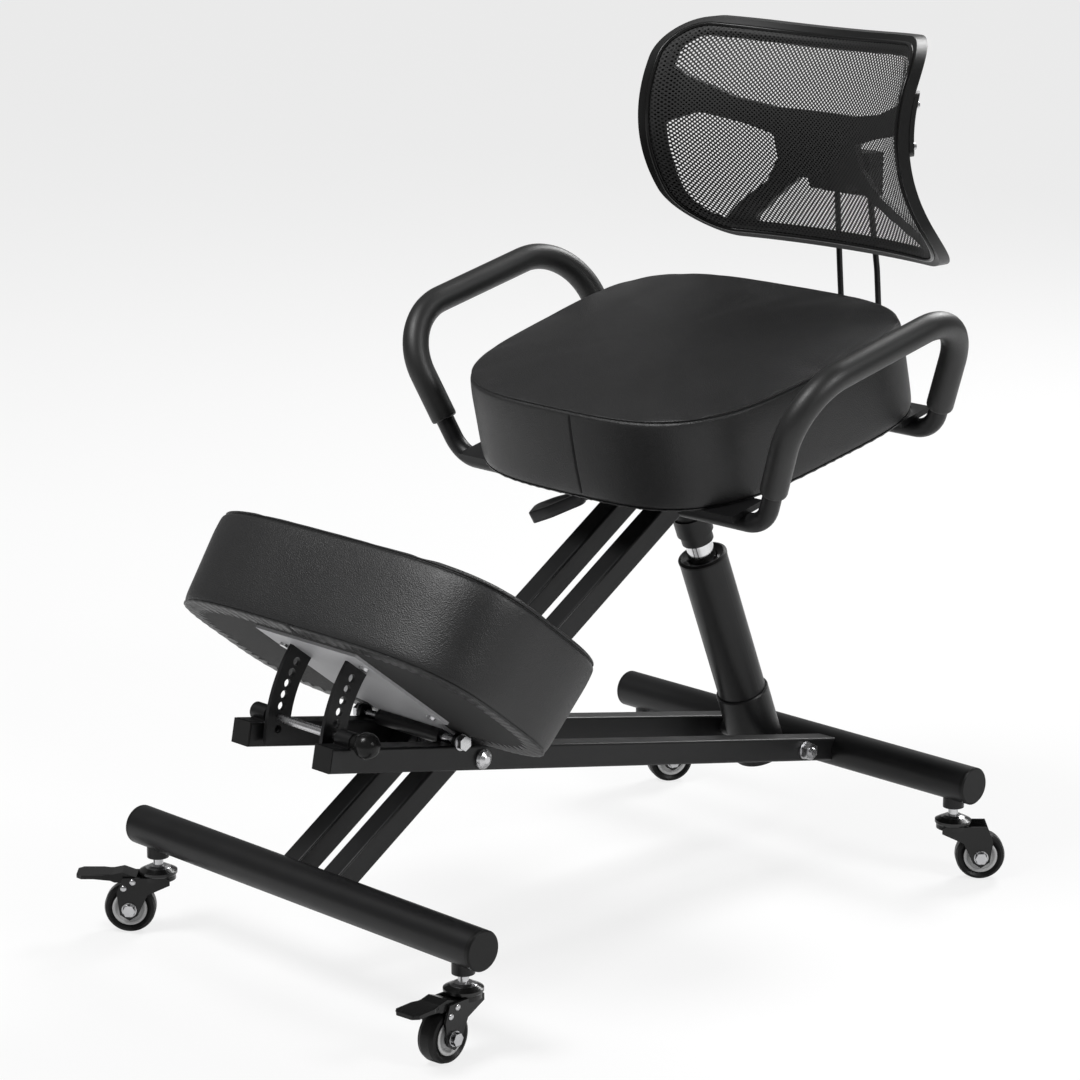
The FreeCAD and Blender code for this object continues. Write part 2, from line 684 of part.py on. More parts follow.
def oval(half_width, flare, half_depth, exponent, height):
    """A rounded trapezoid from the superellipse formula, as short arcs."""
    steps = 16

    def point(index):
        turn = 2 * math.pi * index / (2 * steps)
        across = math.copysign(abs(math.cos(turn)) ** (2 / exponent), math.cos(turn))
        back = math.copysign(abs(math.sin(turn)) ** (2 / exponent), math.sin(turn))
        return Vector((half_width + flare * back) * across, half_depth * back, height)

    edges = [Part.Arc(point(2 * i), point(2 * i + 1), point((2 * i + 2) % (2 * steps))).toShape()
             for i in range(steps)]
    return Part.Wire(edges)


def cushion(prefix, half_width, flare, half_depth, exponent, seam, lean, frame, screws):
    """A crowned cushion on its board: upright side, top seam, rounded edge and crown."""
    board_inset = 14.0
    profile = ((4.0, 0.0), (0.5, 5.0), (0.0, 12.0), (-lean * 0.6, seam * 0.55), (1.0 - lean, seam - 6.0),
               (2.5 - lean, seam), (4.5 - lean, seam + 3.0), (12.0 - lean, seam + 5.5), (45.0, seam + 9.0),
               (90.0, seam + 11.0))
    rings = [oval(half_width - inset, flare, half_depth - inset, exponent, height) for inset, height in profile]
    top = D["board_thickness"]
    hollow = Part.makeLoft([oval(half_width - board_inset + 0.3, flare, half_depth - board_inset + 0.3, exponent, height)
                            for height in (-1.0, top + 0.3)], True, True)
    foam = Part.makeLoft(rings, True, True).cut(hollow)
    node(prefix + "_cushion", solid(foam), frame)
    board = solid(Part.makeLoft([oval(half_width - board_inset, flare, half_depth - board_inset, exponent, height)
                                 for height in (0.0, top)], True, True))
    holes = [cylinder(radius, top, Vector(across, back, -1.0)) for across, back, radius in screws]
    node(prefix + "_board", cut(board, holes), frame)


SEAT_BOLTS = ([place + (PLATE_THICKNESS,) for place in MECHANISM_BOLTS]
              + [place + (STRAP_THICKNESS,) for place in STRAP_BOLTS]
              + [place + (BRACKET_THICKNESS,) for place in BRACKET_BOLTS])
KNEE_SCREWS = [(side * 56.0, back) for side in (1, -1) for back in (-52.0, 51.5)]
KNEE_SCREW_RADIUS = 2.5

cushion("seat", D["seat_half_width"], D["seat_flare"], D["seat_half_depth"], 4.3, D["seat_thickness"], 0.0,
        SEAT_FRAME, [(across, back, BOLT_HOLE) for across, back, under in SEAT_BOLTS])
cushion("knee", D["knee_half_width"], 0.0, D["knee_half_depth"], 4.5, D["knee_thickness"], 5.0,
        KNEE_FRAME, [(across, back, KNEE_SCREW_RADIUS) for across, back in KNEE_SCREWS])


def board_screws(label, places, radius, head_radius, head_height, frame):
    """Pan head screws driven up into a board through what they hold."""
    screws = []
    for across, back, under in places:
        shank = cylinder(radius, D["board_thickness"] - 1.0 + under, Vector(across, back, -under))
        head = cone(head_radius - 1.0, head_radius, head_height, Vector(across, back, -under - head_height))
        screws.append(fuse([shank, head]))
    return node(label, group(screws), frame)


board_screws("seat_bolts", SEAT_BOLTS, BOLT_HOLE, 5.5, 3.5, SEAT_FRAME)


# Armrests: bent tube on two straps, with a foam grip

ARM_FOOT_X = 210.0
ARM_TOP_X = 274.5
ARM_TOP = 125.5
ARM_FOOT = -14.5
ARM_START_X = 104.0


def arm_point(side, share, back):
    """A point on an armrest's leg: share 0 at the foot corner, 1 at the top corner."""
    return Vector(side * (ARM_FOOT_X + share * (ARM_TOP_X - ARM_FOOT_X)), back, ARM_FOOT + share * (ARM_TOP - ARM_FOOT))


def armrest(name, side):
    route = [Vector(side * ARM_START_X, -ARM_BACK, ARM_FOOT), arm_point(side, 0, -ARM_BACK),
             arm_point(side, 1, -ARM_BACK), arm_point(side, 1, ARM_BACK), arm_point(side, 0, ARM_BACK),
             Vector(side * ARM_START_X, ARM_BACK, ARM_FOOT)]
    path = rounded_path(route, [34.0, 62.0, 66.0, 34.0])
    tube = swept(path, D["arm_tube_radius"])
    straps = []
    for end in (1, -1):
        strap = box(120.0, STRAP_WIDTH, STRAP_THICKNESS,
                    Vector(min(side * 70.0, side * 190.0), end * ARM_BACK - STRAP_WIDTH / 2, -STRAP_THICKNESS))
        holes = [cylinder(BOLT_HOLE, 20.0, Vector(across, back, -10.0)) for across, back in STRAP_BOLTS]
        straps.append(cut(strap, holes))
    steel = fuse([solid(tube)] + straps)
    bore = solid(swept(path, D["arm_tube_radius"] - 1.5))
    node("armrest_" + name, cut(steel, [bore]), SEAT_FRAME)
    grip_route = [arm_point(side, 0.265, -ARM_BACK), arm_point(side, 1, -ARM_BACK), arm_point(side, 1, ARM_BACK),
                  arm_point(side, 0.195, ARM_BACK)]
    foam = swept(rounded_path(grip_route, [62.0, 66.0]), D["grip_radius"])
    hollow = swept(path, D["arm_tube_radius"] + 0.1)
    node("armrest_grip_" + name, solid(foam.cut(hollow)), SEAT_FRAME)


for name, side in LEFT_RIGHT:
    armrest(name, side)


# Backrest: rods, curved frame, mesh and rear support

FRAME_DEPTH = 16.0
SUPPORT_DEPTH = 7.0
MESH_DEPTH = 1.5
MESH_BACK = 5.0
ROD_X = 25.7
ROD_TOP_X = 21.0
ROD_WELD = 1.0


def back_place(across, height, behind):
    """A point on the backrest's curved face, or a distance behind it."""
    share = (height - D["back_middle"]) / D["back_half_height"]
    bulge = 4.4 - 17.3 * share + 56.3 * (share - 0.06) ** 2
    flattening = 27.0 * max(0.0, -share) ** 2 * (1.0 - (across / 175.0) ** 2)
    radius = D["back_radius"]
    sweep = radius - math.sqrt(radius ** 2 - across ** 2)
    return Vector(across, BAR_Y + bulge - flattening - sweep + behind, height)


def back_slab(behind, depth):
    """A slab between the curved face moved back and a parallel one."""
    columns = 13
    rows = 11
    grid = [[back_place(-200.0 + 400.0 * i / (columns - 1), D["back_middle"] - 135.0 + 270.0 * j / (rows - 1), behind)
             for j in range(rows)] for i in range(columns)]
    surface = Part.BSplineSurface()
    surface.interpolate(grid)
    return surface.toShape().extrude(Vector(0, depth, 0))


def front_prism(points, radii):
    """A straight prism through the backrest from an outline of (across, height) corners."""
    corners = [Vector(across, BAR_Y - 200.0, D["back_middle"] + up) for across, up in points]
    return Part.Face(rounded_path(corners, radii)).extrude(Vector(0, 500.0, 0))


def frame_outline(inset):
    """The frame's outline, narrower at the top, with a slight hollow in its top edge."""
    low = -D["back_half_height"] - 7.0 + inset
    high = D["back_half_height"] + 7.0 - inset
    wide = 182.0 - inset
    narrow = 173.0 - inset
    return [(0.0, low), (wide, low), (narrow, high), (0.0, high - 9.0), (-narrow, high), (-wide, low), (0.0, low)]


FRAME_BAND = 13.0
OUTER_RADII = [52.0, 42.0, 1500.0, 42.0, 52.0]
INNER_RADII = [39.0, 29.0, 1500.0, 29.0, 39.0]
SUPPORT_HALF = [(0.0, 28.0), (52.0, 28.0), (96.0, 35.0), (140.0, 52.0), (175.0, 72.0), (178.0, 2.0), (134.0, 19.0),
                (86.0, 9.0), (56.0, 0.0), (56.0, -25.0), (76.0, -51.0), (118.0, -78.0), (152.0, -106.0),
                (124.0, -114.0), (108.0, -94.0), (73.0, -69.0), (36.0, -44.0), (0.0, -41.0)]
SCREW_PLACES = [(168.0, 54.0), (169.0, 14.0), (137.0, -108.0)]


def backrest():
    outer = front_prism(frame_outline(0.0), OUTER_RADII)
    inner = front_prism(frame_outline(FRAME_BAND), INNER_RADII)
    screws = []
    for side in (1, -1):
        for across, up in SCREW_PLACES:
            seat = back_place(side * across, D["back_middle"] + up, FRAME_DEPTH + SUPPORT_DEPTH)
            shank = cylinder(2.0, 16.0, seat - Y_AXIS * 14.0, Y_AXIS)
            head = cylinder(4.0, 3.5, seat - Y_AXIS * 1.0, Y_AXIS)
            screws.append(fuse([shank, head]))
    screw_group = node("back_screws", group(screws))
    doc.recompute()
    screw_shape = screw_group.Shape
    ring = back_slab(0.0, FRAME_DEPTH).common(outer.cut(inner)).cut(screw_shape)
    node("back_frame", solid(ring))
    node("back_mesh", solid(back_slab(MESH_BACK, MESH_DEPTH).common(inner)))
    mirrored = [(-across, up) for across, up in reversed(SUPPORT_HALF[1:-1])]
    outline = SUPPORT_HALF + mirrored + SUPPORT_HALF[:1]
    radii = [6.0] * (len(outline) - 2)
    plate = back_slab(FRAME_DEPTH, SUPPORT_DEPTH).common(front_prism(outline, radii))
    block = Part.makeBox(64.0, 22.0, 44.0, Vector(-32.0, BAR_Y + 64.0, D["back_middle"] - 60.0))
    neck = Part.makeBox(50.0, 50.0, 32.0, Vector(-25.0, BAR_Y + 16.0, D["back_middle"] - 54.0))
    ahead = back_slab(FRAME_DEPTH - 100.0, 100.0)
    rods = back_rods()
    support = plate.fuse([block, neck.cut(ahead)]).cut(rods).cut(screw_shape)
    node("back_support", solid(support.removeSplitter()))


def back_rods():
    """Two steel rods on a bracket under the seat, bent up behind it and into the support."""
    place = SEAT_FRAME.multVec
    under = -BRACKET_THICKNESS - D["rod_radius"] + ROD_WELD
    rods = []
    for side in (1, -1):
        corner = place(Vector(side * ROD_X, 262.0, under))
        route = [place(Vector(side * ROD_X, 112.0, under)), corner,
                 Vector(side * ROD_X, corner.y - 7.3, 592.0), Vector(side * ROD_TOP_X, corner.y - 21.5, 704.0)]
        rods.append(swept(rounded_path(route, [20.0, 150.0]), D["rod_radius"]))
    bracket = Part.makeBox(80.0, 44.0, BRACKET_THICKNESS, Vector(-40.0, 108.0, -BRACKET_THICKNESS))
    for across, back in BRACKET_BOLTS:
        bracket = bracket.cut(Part.makeCylinder(BOLT_HOLE, 20.0, Vector(across, back, -10.0)))
    bracket.Placement = SEAT_FRAME
    joined = bracket.fuse(rods)
    node("back_rods", solid(joined))
    return joined


backrest()


# Knee pad bracket: grey plate, holed arc plates, pivot tube and lock pin

HOLE_STEP = 4.7
HOLES_BELOW = 1
HOLES_ABOVE = 5
ARC_SWEEP = 41.4
ARC_THICKNESS = 4.0
ARC_PLACE = 39.0


def knee_bracket():
    outline = [(-70.0, -81.0), (70.0, -81.0), (70.0, 62.0), (50.0, 70.0), (50.0, 95.0), (-50.0, 95.0), (-50.0, 70.0),
               (-70.0, 62.0)]
    padded("knee_plate", "XY_Plane", outline, PLATE_THICKNESS, -PLATE_THICKNESS,
           [(place, KNEE_SCREW_RADIUS) for place in KNEE_SCREWS], KNEE_FRAME)
    axis = local(KNEE_FRAME, KNEE_AXIS)
    pin = local(KNEE_FRAME, LOCK_PIN) - axis
    reach = pin.Length
    pin_angle = math.degrees(math.atan2(pin.z, pin.y))
    above = box(200.0, 300.0, 60.0, Vector(-100.0, -150.0, -PLATE_THICKNESS))
    for name, side in LEFT_RIGHT:
        start = Vector(side * ARC_PLACE - ARC_THICKNESS / 2, axis.y, axis.z)
        turn = Rotation(Z_AXIS, X_AXIS).multiply(Rotation(Z_AXIS, -96.0))
        sector = cylinder(reach + 14.0, ARC_THICKNESS)
        sector.Angle = ARC_SWEEP
        sector.Placement = Placement(start, turn)
        middle = cylinder(reach - 14.0, ARC_THICKNESS + 2.0, start - X_AXIS, X_AXIS)
        holes = []
        for index in range(-HOLES_BELOW, HOLES_ABOVE + 1):
            angle = math.radians(pin_angle - HOLE_STEP * index)
            centre = axis + Vector(0, reach * math.cos(angle), reach * math.sin(angle))
            holes.append(cross_hole(LOCK_PIN_RADIUS + 0.08, centre))
        node("knee_adjuster_" + name, cut(sector, [middle, above] + holes), KNEE_FRAME)
    tube = cylinder(7.5, 88.0, axis - X_AXIS * 44.0, X_AXIS)
    top = box(200.0, 60.0, 20.0, Vector(-100.0, axis.y - 30.0, -PLATE_THICKNESS))
    node("knee_pivot_tube", cut(tube, [cross_hole(KNEE_BOLT_RADIUS + 0.08, axis), top]), KNEE_FRAME)
    board_screws("knee_screws", [place + (PLATE_THICKNESS,) for place in KNEE_SCREWS], KNEE_SCREW_RADIUS, 5.0, 2.5,
                 KNEE_FRAME)


knee_bracket()

PIN_END = -68.0
KNOB_START = BOSS_INSIDE + BOSS_LENGTH + 0.4
KNOB_CENTRE = 86.0


def lock_pin():
    rod = cylinder(LOCK_PIN_RADIUS, KNOB_CENTRE - PIN_END - 8.0, LOCK_PIN + X_AXIS * PIN_END, X_AXIS)
    node("lock_pin", rod)
    knob = ball(12.5, LOCK_PIN + X_AXIS * KNOB_CENTRE)
    neck = cylinder(7.5, KNOB_CENTRE - KNOB_START - 8.0, LOCK_PIN + X_AXIS * KNOB_START, X_AXIS)
    bore = cylinder(LOCK_PIN_RADIUS, KNOB_CENTRE - PIN_END - 8.0, LOCK_PIN + X_AXIS * PIN_END, X_AXIS)
    node("lock_pin_knob", cut(fuse([knob, neck]), [bore]))


lock_pin()


# Casters: fork, wheel and, at the front, a brake pedal

CASTERS = [("front_left", 1, FRONT_Y, 276.0, True), ("front_right", -1, FRONT_Y, 226.0, True),
           ("rear_left", 1, BAR_Y, 46.0, False), ("rear_right", -1, BAR_Y, 62.0, False)]
CHEEK_INSIDE = 11.8
CHEEK_THICKNESS = 2.5
AXLE_RADIUS = 3.0
PEDAL_PIN = Vector(0, 24.0, 53.5)


def caster_frame(side, place_y, angle):
    return Placement(Vector(side * D["stem_place"], place_y, 0), Rotation(Z_AXIS, angle - 90.0))


def caster_fork(label, frame, braked):
    axle = Vector(0, D["wheel_trail"], D["wheel_radius"])
    race = cylinder(17.0, 4.3, Vector(0, 0, RACE_UNDER - 4.7))
    crown = box(28.6, 26.0, 3.0, Vector(-14.3, -12.0, RACE_UNDER - 4.7))
    king = cylinder(KINGPIN_RADIUS + 0.08, 30.0, Vector(0, 0, 40.0))
    cheeks = []
    for side in (1, -1):
        offset = CHEEK_INSIDE if side > 0 else -CHEEK_INSIDE - CHEEK_THICKNESS
        cheeks.append(padded(label + ("_cheek_a" if side > 0 else "_cheek_b"), "YZ_Plane",
                             [(-12.0, 56.3), (-12.0, 50.0), (10.0, 40.0), (20.0, 19.0), (28.0, 14.0), (37.0, 20.0),
                              (40.0, 42.0), (34.0, 57.5), (18.0, 57.5)], CHEEK_THICKNESS, offset, name_node=False))
    reach = CHEEK_INSIDE + CHEEK_THICKNESS
    pin = cylinder(AXLE_RADIUS, 2 * reach, axle - X_AXIS * reach, X_AXIS)
    nuts = [hexagon(11.0, 4.5, axle + X_AXIS * (side * reach), X_AXIS * side) for side in (1, -1)]
    holes = [king]
    if braked:
        holes.append(cross_hole(2.58, PEDAL_PIN, 40.0))
    shell = cut(fuse([race, crown] + cheeks), holes)
    node(label, fuse([shell, pin] + nuts), frame)


def caster_wheel(prefix, frame):
    axle = Placement(Vector(0, D["wheel_trail"], D["wheel_radius"]), Rotation(Z_AXIS, X_AXIS))
    turned(prefix + "_tyre", [(18.0, -8.0), (21.0, -10.0), (23.5, -9.0), ("wheel_radius", -5.0), ("wheel_radius", 5.0),
                              (23.5, 9.0), (21.0, 10.0), (18.0, 8.0)], frame.multiply(axle))
    turned(prefix + "_hub", [(3.06, -11.4), (6.0, -11.4), (6.5, -6.0), (13.0, -6.0), (13.6, -9.0), (17.2, -9.0),
                             (18.0, -8.0), (18.0, 8.0), (17.2, 9.0), (13.6, 9.0), (13.0, 6.0), (6.5, 6.0),
                             (6.0, 11.4), (3.06, 11.4)], frame.multiply(axle))


def brake_pedal(label, frame):
    half = CHEEK_INSIDE - 0.5
    arm = padded(label + "_arm", "YZ_Plane", [(20.5, 52.2), (42.0, 52.2), (46.0, 54.0), (76.0, 57.0), (78.0, 60.0),
                                             (44.0, 60.5), (34.0, 62.5), (20.5, 57.5)], 2 * half, -half,
                 name_node=False)
    wings = padded(label + "_wings", "XY_Plane", [(-half, 46.0), (half, 46.0), (14.0, 54.0), (14.0, 74.0),
                                                 (9.0, 79.0), (-9.0, 79.0), (-14.0, 74.0), (-14.0, 54.0)], 3.6, 56.6,
                   name_node=False)
    pin = cylinder(2.5, 29.0, PEDAL_PIN - X_AXIS * 14.5, X_AXIS)
    node(label, fuse([arm, wings, pin]), frame)


for name, side, place_y, angle, braked in CASTERS:
    frame = caster_frame(side, place_y, angle)
    caster_fork("caster_fork_" + name, frame, braked)
    caster_wheel("caster_" + name, frame)
    if braked:
        brake_pedal("brake_pedal_" + name, frame)


# Check every object, then write one file per sub-part

doc.recompute()
broken = [thing.Name for thing in doc.Objects if "Invalid" in thing.State or "Error" in thing.State]
for label, part in NODES.items():
    if part.Shape.isNull() or not part.Shape.isValid():
        broken.append(label)
if broken:
    raise ValueError("failed objects: " + ", ".join(broken))

os.makedirs("parts", exist_ok=True)
for label, part in NODES.items():
    part.Shape.exportStep("parts/%s.step" % label)
    print(label, len(part.Shape.Solids), "solids", round(part.Shape.Volume), "mm3")

everything = Part.makeCompound([part.Shape for part in NODES.values()])
bounds = everything.BoundBox
print(len(NODES), "sub-parts; x %.1f to %.1f, y %.1f to %.1f, z %.1f to %.1f" % (
    bounds.XMin, bounds.XMax, bounds.YMin, bounds.YMax, bounds.ZMin, bounds.ZMax))
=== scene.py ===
# %% [markdown]
# # Kneeling chair
# The chair is a scissor of square steel tubes on two round foot bars. A gas
# lift holds the seat, and a second pad takes the shins. The solid frame is
# loaded first, because every piece that is added here has to sit on it.

# %% Load the frame
import json
import math

import bmesh
import bpy
from mathutils import Matrix, Vector


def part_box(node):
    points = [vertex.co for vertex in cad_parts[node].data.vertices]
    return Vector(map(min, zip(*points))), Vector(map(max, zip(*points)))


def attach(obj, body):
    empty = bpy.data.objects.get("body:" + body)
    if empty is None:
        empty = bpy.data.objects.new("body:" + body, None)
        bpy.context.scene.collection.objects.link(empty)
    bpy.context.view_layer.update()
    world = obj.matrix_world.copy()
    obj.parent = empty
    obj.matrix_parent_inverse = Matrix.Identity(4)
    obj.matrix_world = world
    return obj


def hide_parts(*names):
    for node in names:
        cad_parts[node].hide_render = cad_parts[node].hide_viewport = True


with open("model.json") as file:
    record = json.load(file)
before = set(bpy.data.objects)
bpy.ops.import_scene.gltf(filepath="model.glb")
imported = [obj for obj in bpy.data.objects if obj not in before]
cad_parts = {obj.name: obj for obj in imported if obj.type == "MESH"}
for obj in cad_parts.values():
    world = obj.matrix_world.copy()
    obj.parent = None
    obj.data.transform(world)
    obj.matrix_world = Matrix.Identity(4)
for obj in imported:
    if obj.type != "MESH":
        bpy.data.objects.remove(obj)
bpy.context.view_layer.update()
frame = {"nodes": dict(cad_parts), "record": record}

MM = 0.001
BAR_Y = (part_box("rear_foot_bar")[0].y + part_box("rear_foot_bar")[1].y) / 2

# %% [markdown]
# ## Camera
# The photograph was taken from the sitter's front left, a little above the
# seat, with a long lens. The place and the lens below come from the lines of
# the chair itself: foot bars, rails and wheels of known size.

# %% Camera
CAMERA_AZIMUTH = math.radians(46.07)
CAMERA_ELEVATION = math.radians(14.082)
CAMERA_PLACE = Vector((2.44168, BAR_Y - 2.72419, 1.22981))
CAMERA_LENS = 120.35


def make_camera():
    data = bpy.data.cameras.new("photo_camera")
    data.lens = CAMERA_LENS
    data.sensor_width = 36.0
    data.clip_end = 50.0
    camera = bpy.data.objects.new("photo_camera", data)
    bpy.context.scene.collection.objects.link(camera)
    right = Vector((math.cos(CAMERA_AZIMUTH), math.sin(CAMERA_AZIMUTH), 0))
    ahead = Vector((-math.sin(CAMERA_AZIMUTH) * math.cos(CAMERA_ELEVATION),
                    math.cos(CAMERA_AZIMUTH) * math.cos(CAMERA_ELEVATION), -math.sin(CAMERA_ELEVATION)))
    up = right.cross(ahead)
    camera.matrix_world = Matrix.Translation(CAMERA_PLACE) @ Matrix((right, up, -ahead)).transposed().to_4x4()
    bpy.context.scene.camera = camera
    return camera


camera = make_camera()
print("camera at", [round(v, 3) for v in camera.location])

# %% [markdown]
# ## Shader maths
# A finish is a small sum: noise plus noise, times a mask. Writing it as nodes
# by hand hides the sum, so a socket is wrapped in a class whose + - * / add
# the Math nodes, and one method makes every other node.

# %% A class for sockets and one for finishes


class Wire:
    """An output socket of a finish, with arithmetic."""

    def __init__(self, finish, socket):
        self.finish = finish
        self.socket = socket

    def __add__(self, other):
        return self.finish.maths("ADD", self, other)

    def __sub__(self, other):
        return self.finish.maths("SUBTRACT", self, other)

    def __rsub__(self, other):
        return self.finish.maths("SUBTRACT", other, self)

    def __mul__(self, other):
        return self.finish.maths("MULTIPLY", self, other)

    def __pow__(self, other):
        return self.finish.maths("POWER", self, other)

    def __gt__(self, other):
        return self.finish.maths("GREATER_THAN", self, other)

    def __lt__(self, other):
        return self.finish.maths("LESS_THAN", self, other)

    def __abs__(self):
        return self.finish.maths("ABSOLUTE", self)

    __radd__ = __add__
    __rmul__ = __mul__


class Finish:
    """A material in the making."""

    def __init__(self, name):
        self.material = bpy.data.materials.new(name)
        self.material.use_nodes = True
        self.tree = self.material.node_tree
        self.tree.nodes.clear()
        self.place = self.node("ShaderNodeTexCoord", out="Object")

    def node(self, kind, settings=None, out=0, **sockets):
        made = self.tree.nodes.new(kind)
        for key, value in (settings or {}).items():
            if key == "stops":
                ramp = made.color_ramp.elements
                while len(ramp) < len(value):
                    ramp.new(0.5)
                for stop, (position, shade) in zip(ramp, value):
                    stop.position = position
                    stop.color = (shade, shade, shade, 1)
            else:
                setattr(made, key, value)
        for key, value in sockets.items():
            self.feed(made.inputs[int(key[1:])] if key[1:].isdigit() else made.inputs[key.replace("_", " ")], value)
        return Wire(self, made.outputs[out])

    def feed(self, socket, value):
        if isinstance(value, Wire):
            self.tree.links.new(value.socket, socket)
        else:
            socket.default_value = value

    def maths(self, operation, *values):
        return self.node("ShaderNodeMath", {"operation": operation}, **{"i%d" % i: v for i, v in enumerate(values)})

    def noise(self, scale, detail=3.0, roughness=0.5, where=None):
        return self.node("ShaderNodeTexNoise", Vector=where or self.place, Scale=scale, Detail=detail,
                         Roughness=roughness)

    def cells(self, scale, feature="F1", where=None):
        return self.node("ShaderNodeTexVoronoi", {"feature": feature}, out="Distance", Vector=where or self.place,
                         Scale=scale)

    def ramp(self, value, *stops):
        return self.node("ShaderNodeValToRGB", {"stops": stops}, out="Color", Fac=value)

    def shades(self, share, dark, light):
        return self.node("ShaderNodeMix", {"data_type": "RGBA"}, out=2, Factor=share, i6=(*dark, 1), i7=(*light, 1))

    def parts(self, where=None):
        split = self.node("ShaderNodeSeparateXYZ", Vector=where or self.place)
        node = split.socket.node
        return [Wire(self, node.outputs[i]) for i in range(3)]

    def turned(self, spot, angle):
        """Coordinates round a spot of the chair, turned about the vertical."""
        shifted = self.node("ShaderNodeMapping", {"vector_type": "POINT"}, Vector=self.place,
                            Location=tuple(-Vector(spot)))
        return self.node("ShaderNodeMapping", {"vector_type": "POINT"}, Vector=shifted,
                         Rotation=(0.0, 0.0, -angle))

    def surface(self, color, roughness, metallic=0.0, bump=None, depth=0.0002, alpha=None, **fixed):
        shader = self.tree.nodes.new("ShaderNodeBsdfPrincipled")
        self.feed(shader.inputs["Base Color"], color if isinstance(color, Wire) else (*color, 1))
        self.feed(shader.inputs["Roughness"], roughness)
        self.feed(shader.inputs["Metallic"], metallic)
        for key, value in fixed.items():
            shader.inputs[key.replace("_", " ")].default_value = value
        if bump is not None:
            relief = self.node("ShaderNodeBump", out="Normal", Height=bump, Distance=depth, Strength=1.0)
            self.feed(shader.inputs["Normal"], relief)
        if alpha is not None:
            self.feed(shader.inputs["Alpha"], alpha)
        out = self.tree.nodes.new("ShaderNodeOutputMaterial")
        self.tree.links.new(shader.outputs[0], out.inputs[0])
        return self.material


def wear(thing, finish):
    """Gives a piece one finish all over."""
    thing.data.materials.clear()
    thing.data.materials.append(finish)


# %% [markdown]
# ## Powder-coated steel
# Rails, bars, forks and brackets share one black powder coat. It is satin,
# with the faint orange peel that powder leaves when it melts, and a little
# uneven in gloss where hands and dust have been.

# %% Black powder coat


def powder_coat(name, dark, light, gloss):
    finish = Finish(name)
    cloud = finish.noise(9.0, 4.0)
    peel = finish.noise(620.0, 2.0)
    speck = finish.noise(2600.0, 1.0)
    shade = finish.shades(cloud * 0.7 + speck * 0.3, dark, light)
    rough = finish.noise(35.0, 3.0) * 0.12 + gloss
    return finish.surface(shade, rough, bump=peel * 0.6 + speck * 0.4, depth=0.00006, Specular_IOR_Level=0.32)


black_steel = powder_coat("black_powder_coat", (0.004, 0.004, 0.0043), (0.008, 0.008, 0.0085), 0.34)
grey_steel = powder_coat("grey_powder_coat", (0.36, 0.36, 0.37), (0.46, 0.46, 0.47), 0.42)
print("powder coats:", black_steel.name, grey_steel.name)

# %% [markdown]
# ## Bright metal
# Bolts, pins and caster stems are zinc plated: bright, but a little cloudy.
# The gas cylinder is ground and chromed, so it is far smoother. Its fine rings from grinding are left out.

# %% Zinc and chrome


def bright_metal(name, dark, light, gloss, ring=0.0):
    finish = Finish(name)
    cloud = finish.noise(60.0, 4.0)
    scratch = finish.noise(900.0, 2.0)
    shade = finish.shades(cloud, dark, light)
    return finish.surface(shade, cloud * 0.1 + gloss + scratch * 0.04, 1.0, bump=scratch, depth=0.00002 + ring)


zinc = bright_metal("bright_zinc", (0.42, 0.42, 0.43), (0.66, 0.66, 0.67), 0.2)
chrome = bright_metal("ground_chrome", (0.62, 0.62, 0.63), (0.78, 0.78, 0.79), 0.07)
print("bright metals:", zinc.name, chrome.name)

# %% [markdown]
# ## Moulded black plastic
# Caps, paddle, knob and the backrest frame are moulded. The tool leaves a
# very fine even grain, which breaks the highlight up.

# %% Black plastics


def moulded(name, dark, light, gloss, grain=1500.0, depth=0.00005):
    finish = Finish(name)
    texture = finish.cells(grain)
    cloud = finish.noise(14.0, 3.0)
    shade = finish.shades(cloud, dark, light)
    return finish.surface(shade, cloud * 0.1 + gloss, bump=texture, depth=depth, Specular_IOR_Level=0.22)


satin_plastic = moulded("satin_black_plastic", (0.004, 0.004, 0.004), (0.009, 0.009, 0.009), 0.36)
gloss_plastic = moulded("gloss_black_plastic", (0.006, 0.006, 0.006), (0.011, 0.011, 0.011), 0.18, depth=0.00002)
tyre_rubber = moulded("tyre_rubber", (0.005, 0.005, 0.005), (0.011, 0.011, 0.011), 0.32, grain=700.0)
print("plastics:", satin_plastic.name, gloss_plastic.name, tyre_rubber.name)

# %% [markdown]
# ## Foam grip
# The sleeves on the armrests are nitrile foam: matt, closed cells under a
# thin skin, so the surface is a dense field of tiny dimples.

# %% Foam


def foam():
    finish = Finish("black_foam")
    dimples = finish.cells(1100.0)
    cloud = finish.noise(30.0, 4.0)
    shade = finish.shades(cloud, (0.005, 0.005, 0.005), (0.011, 0.011, 0.011))
    return finish.surface(shade, dimples * 0.2 + 0.36, bump=dimples * 0.7 + cloud * 0.5, depth=0.0001)


foam_skin = foam()
print("foam:", foam_skin.name)

# %% [markdown]
# ## Black vinyl
# The cushions wear soft vinyl with a leather grain: pebbles about a
# millimetre across with finer pores between them, and long soft creases
# where the cover is pulled over the foam.

# %% Vinyl


def vinyl():
    finish = Finish("black_vinyl")
    pebbles = finish.cells(950.0, "SMOOTH_F1")
    pores = finish.noise(2400.0, 3.0)
    pull = finish.noise(12.0, 3.0, 0.6)
    wave = finish.noise(45.0, 2.0)
    shade = finish.shades(pull, (0.007, 0.007, 0.0072), (0.014, 0.014, 0.0144))
    grain = finish.maths("MULTIPLY", pebbles, 1.2) + pores * 0.35 + wave * 0.9
    return finish.surface(shade, pull * 0.14 + 0.36, bump=grain, depth=0.00028, Specular_IOR_Level=0.45,
                          Coat_Weight=0.06, Coat_Roughness=0.35)


black_vinyl = vinyl()
print("vinyl:", black_vinyl.name)

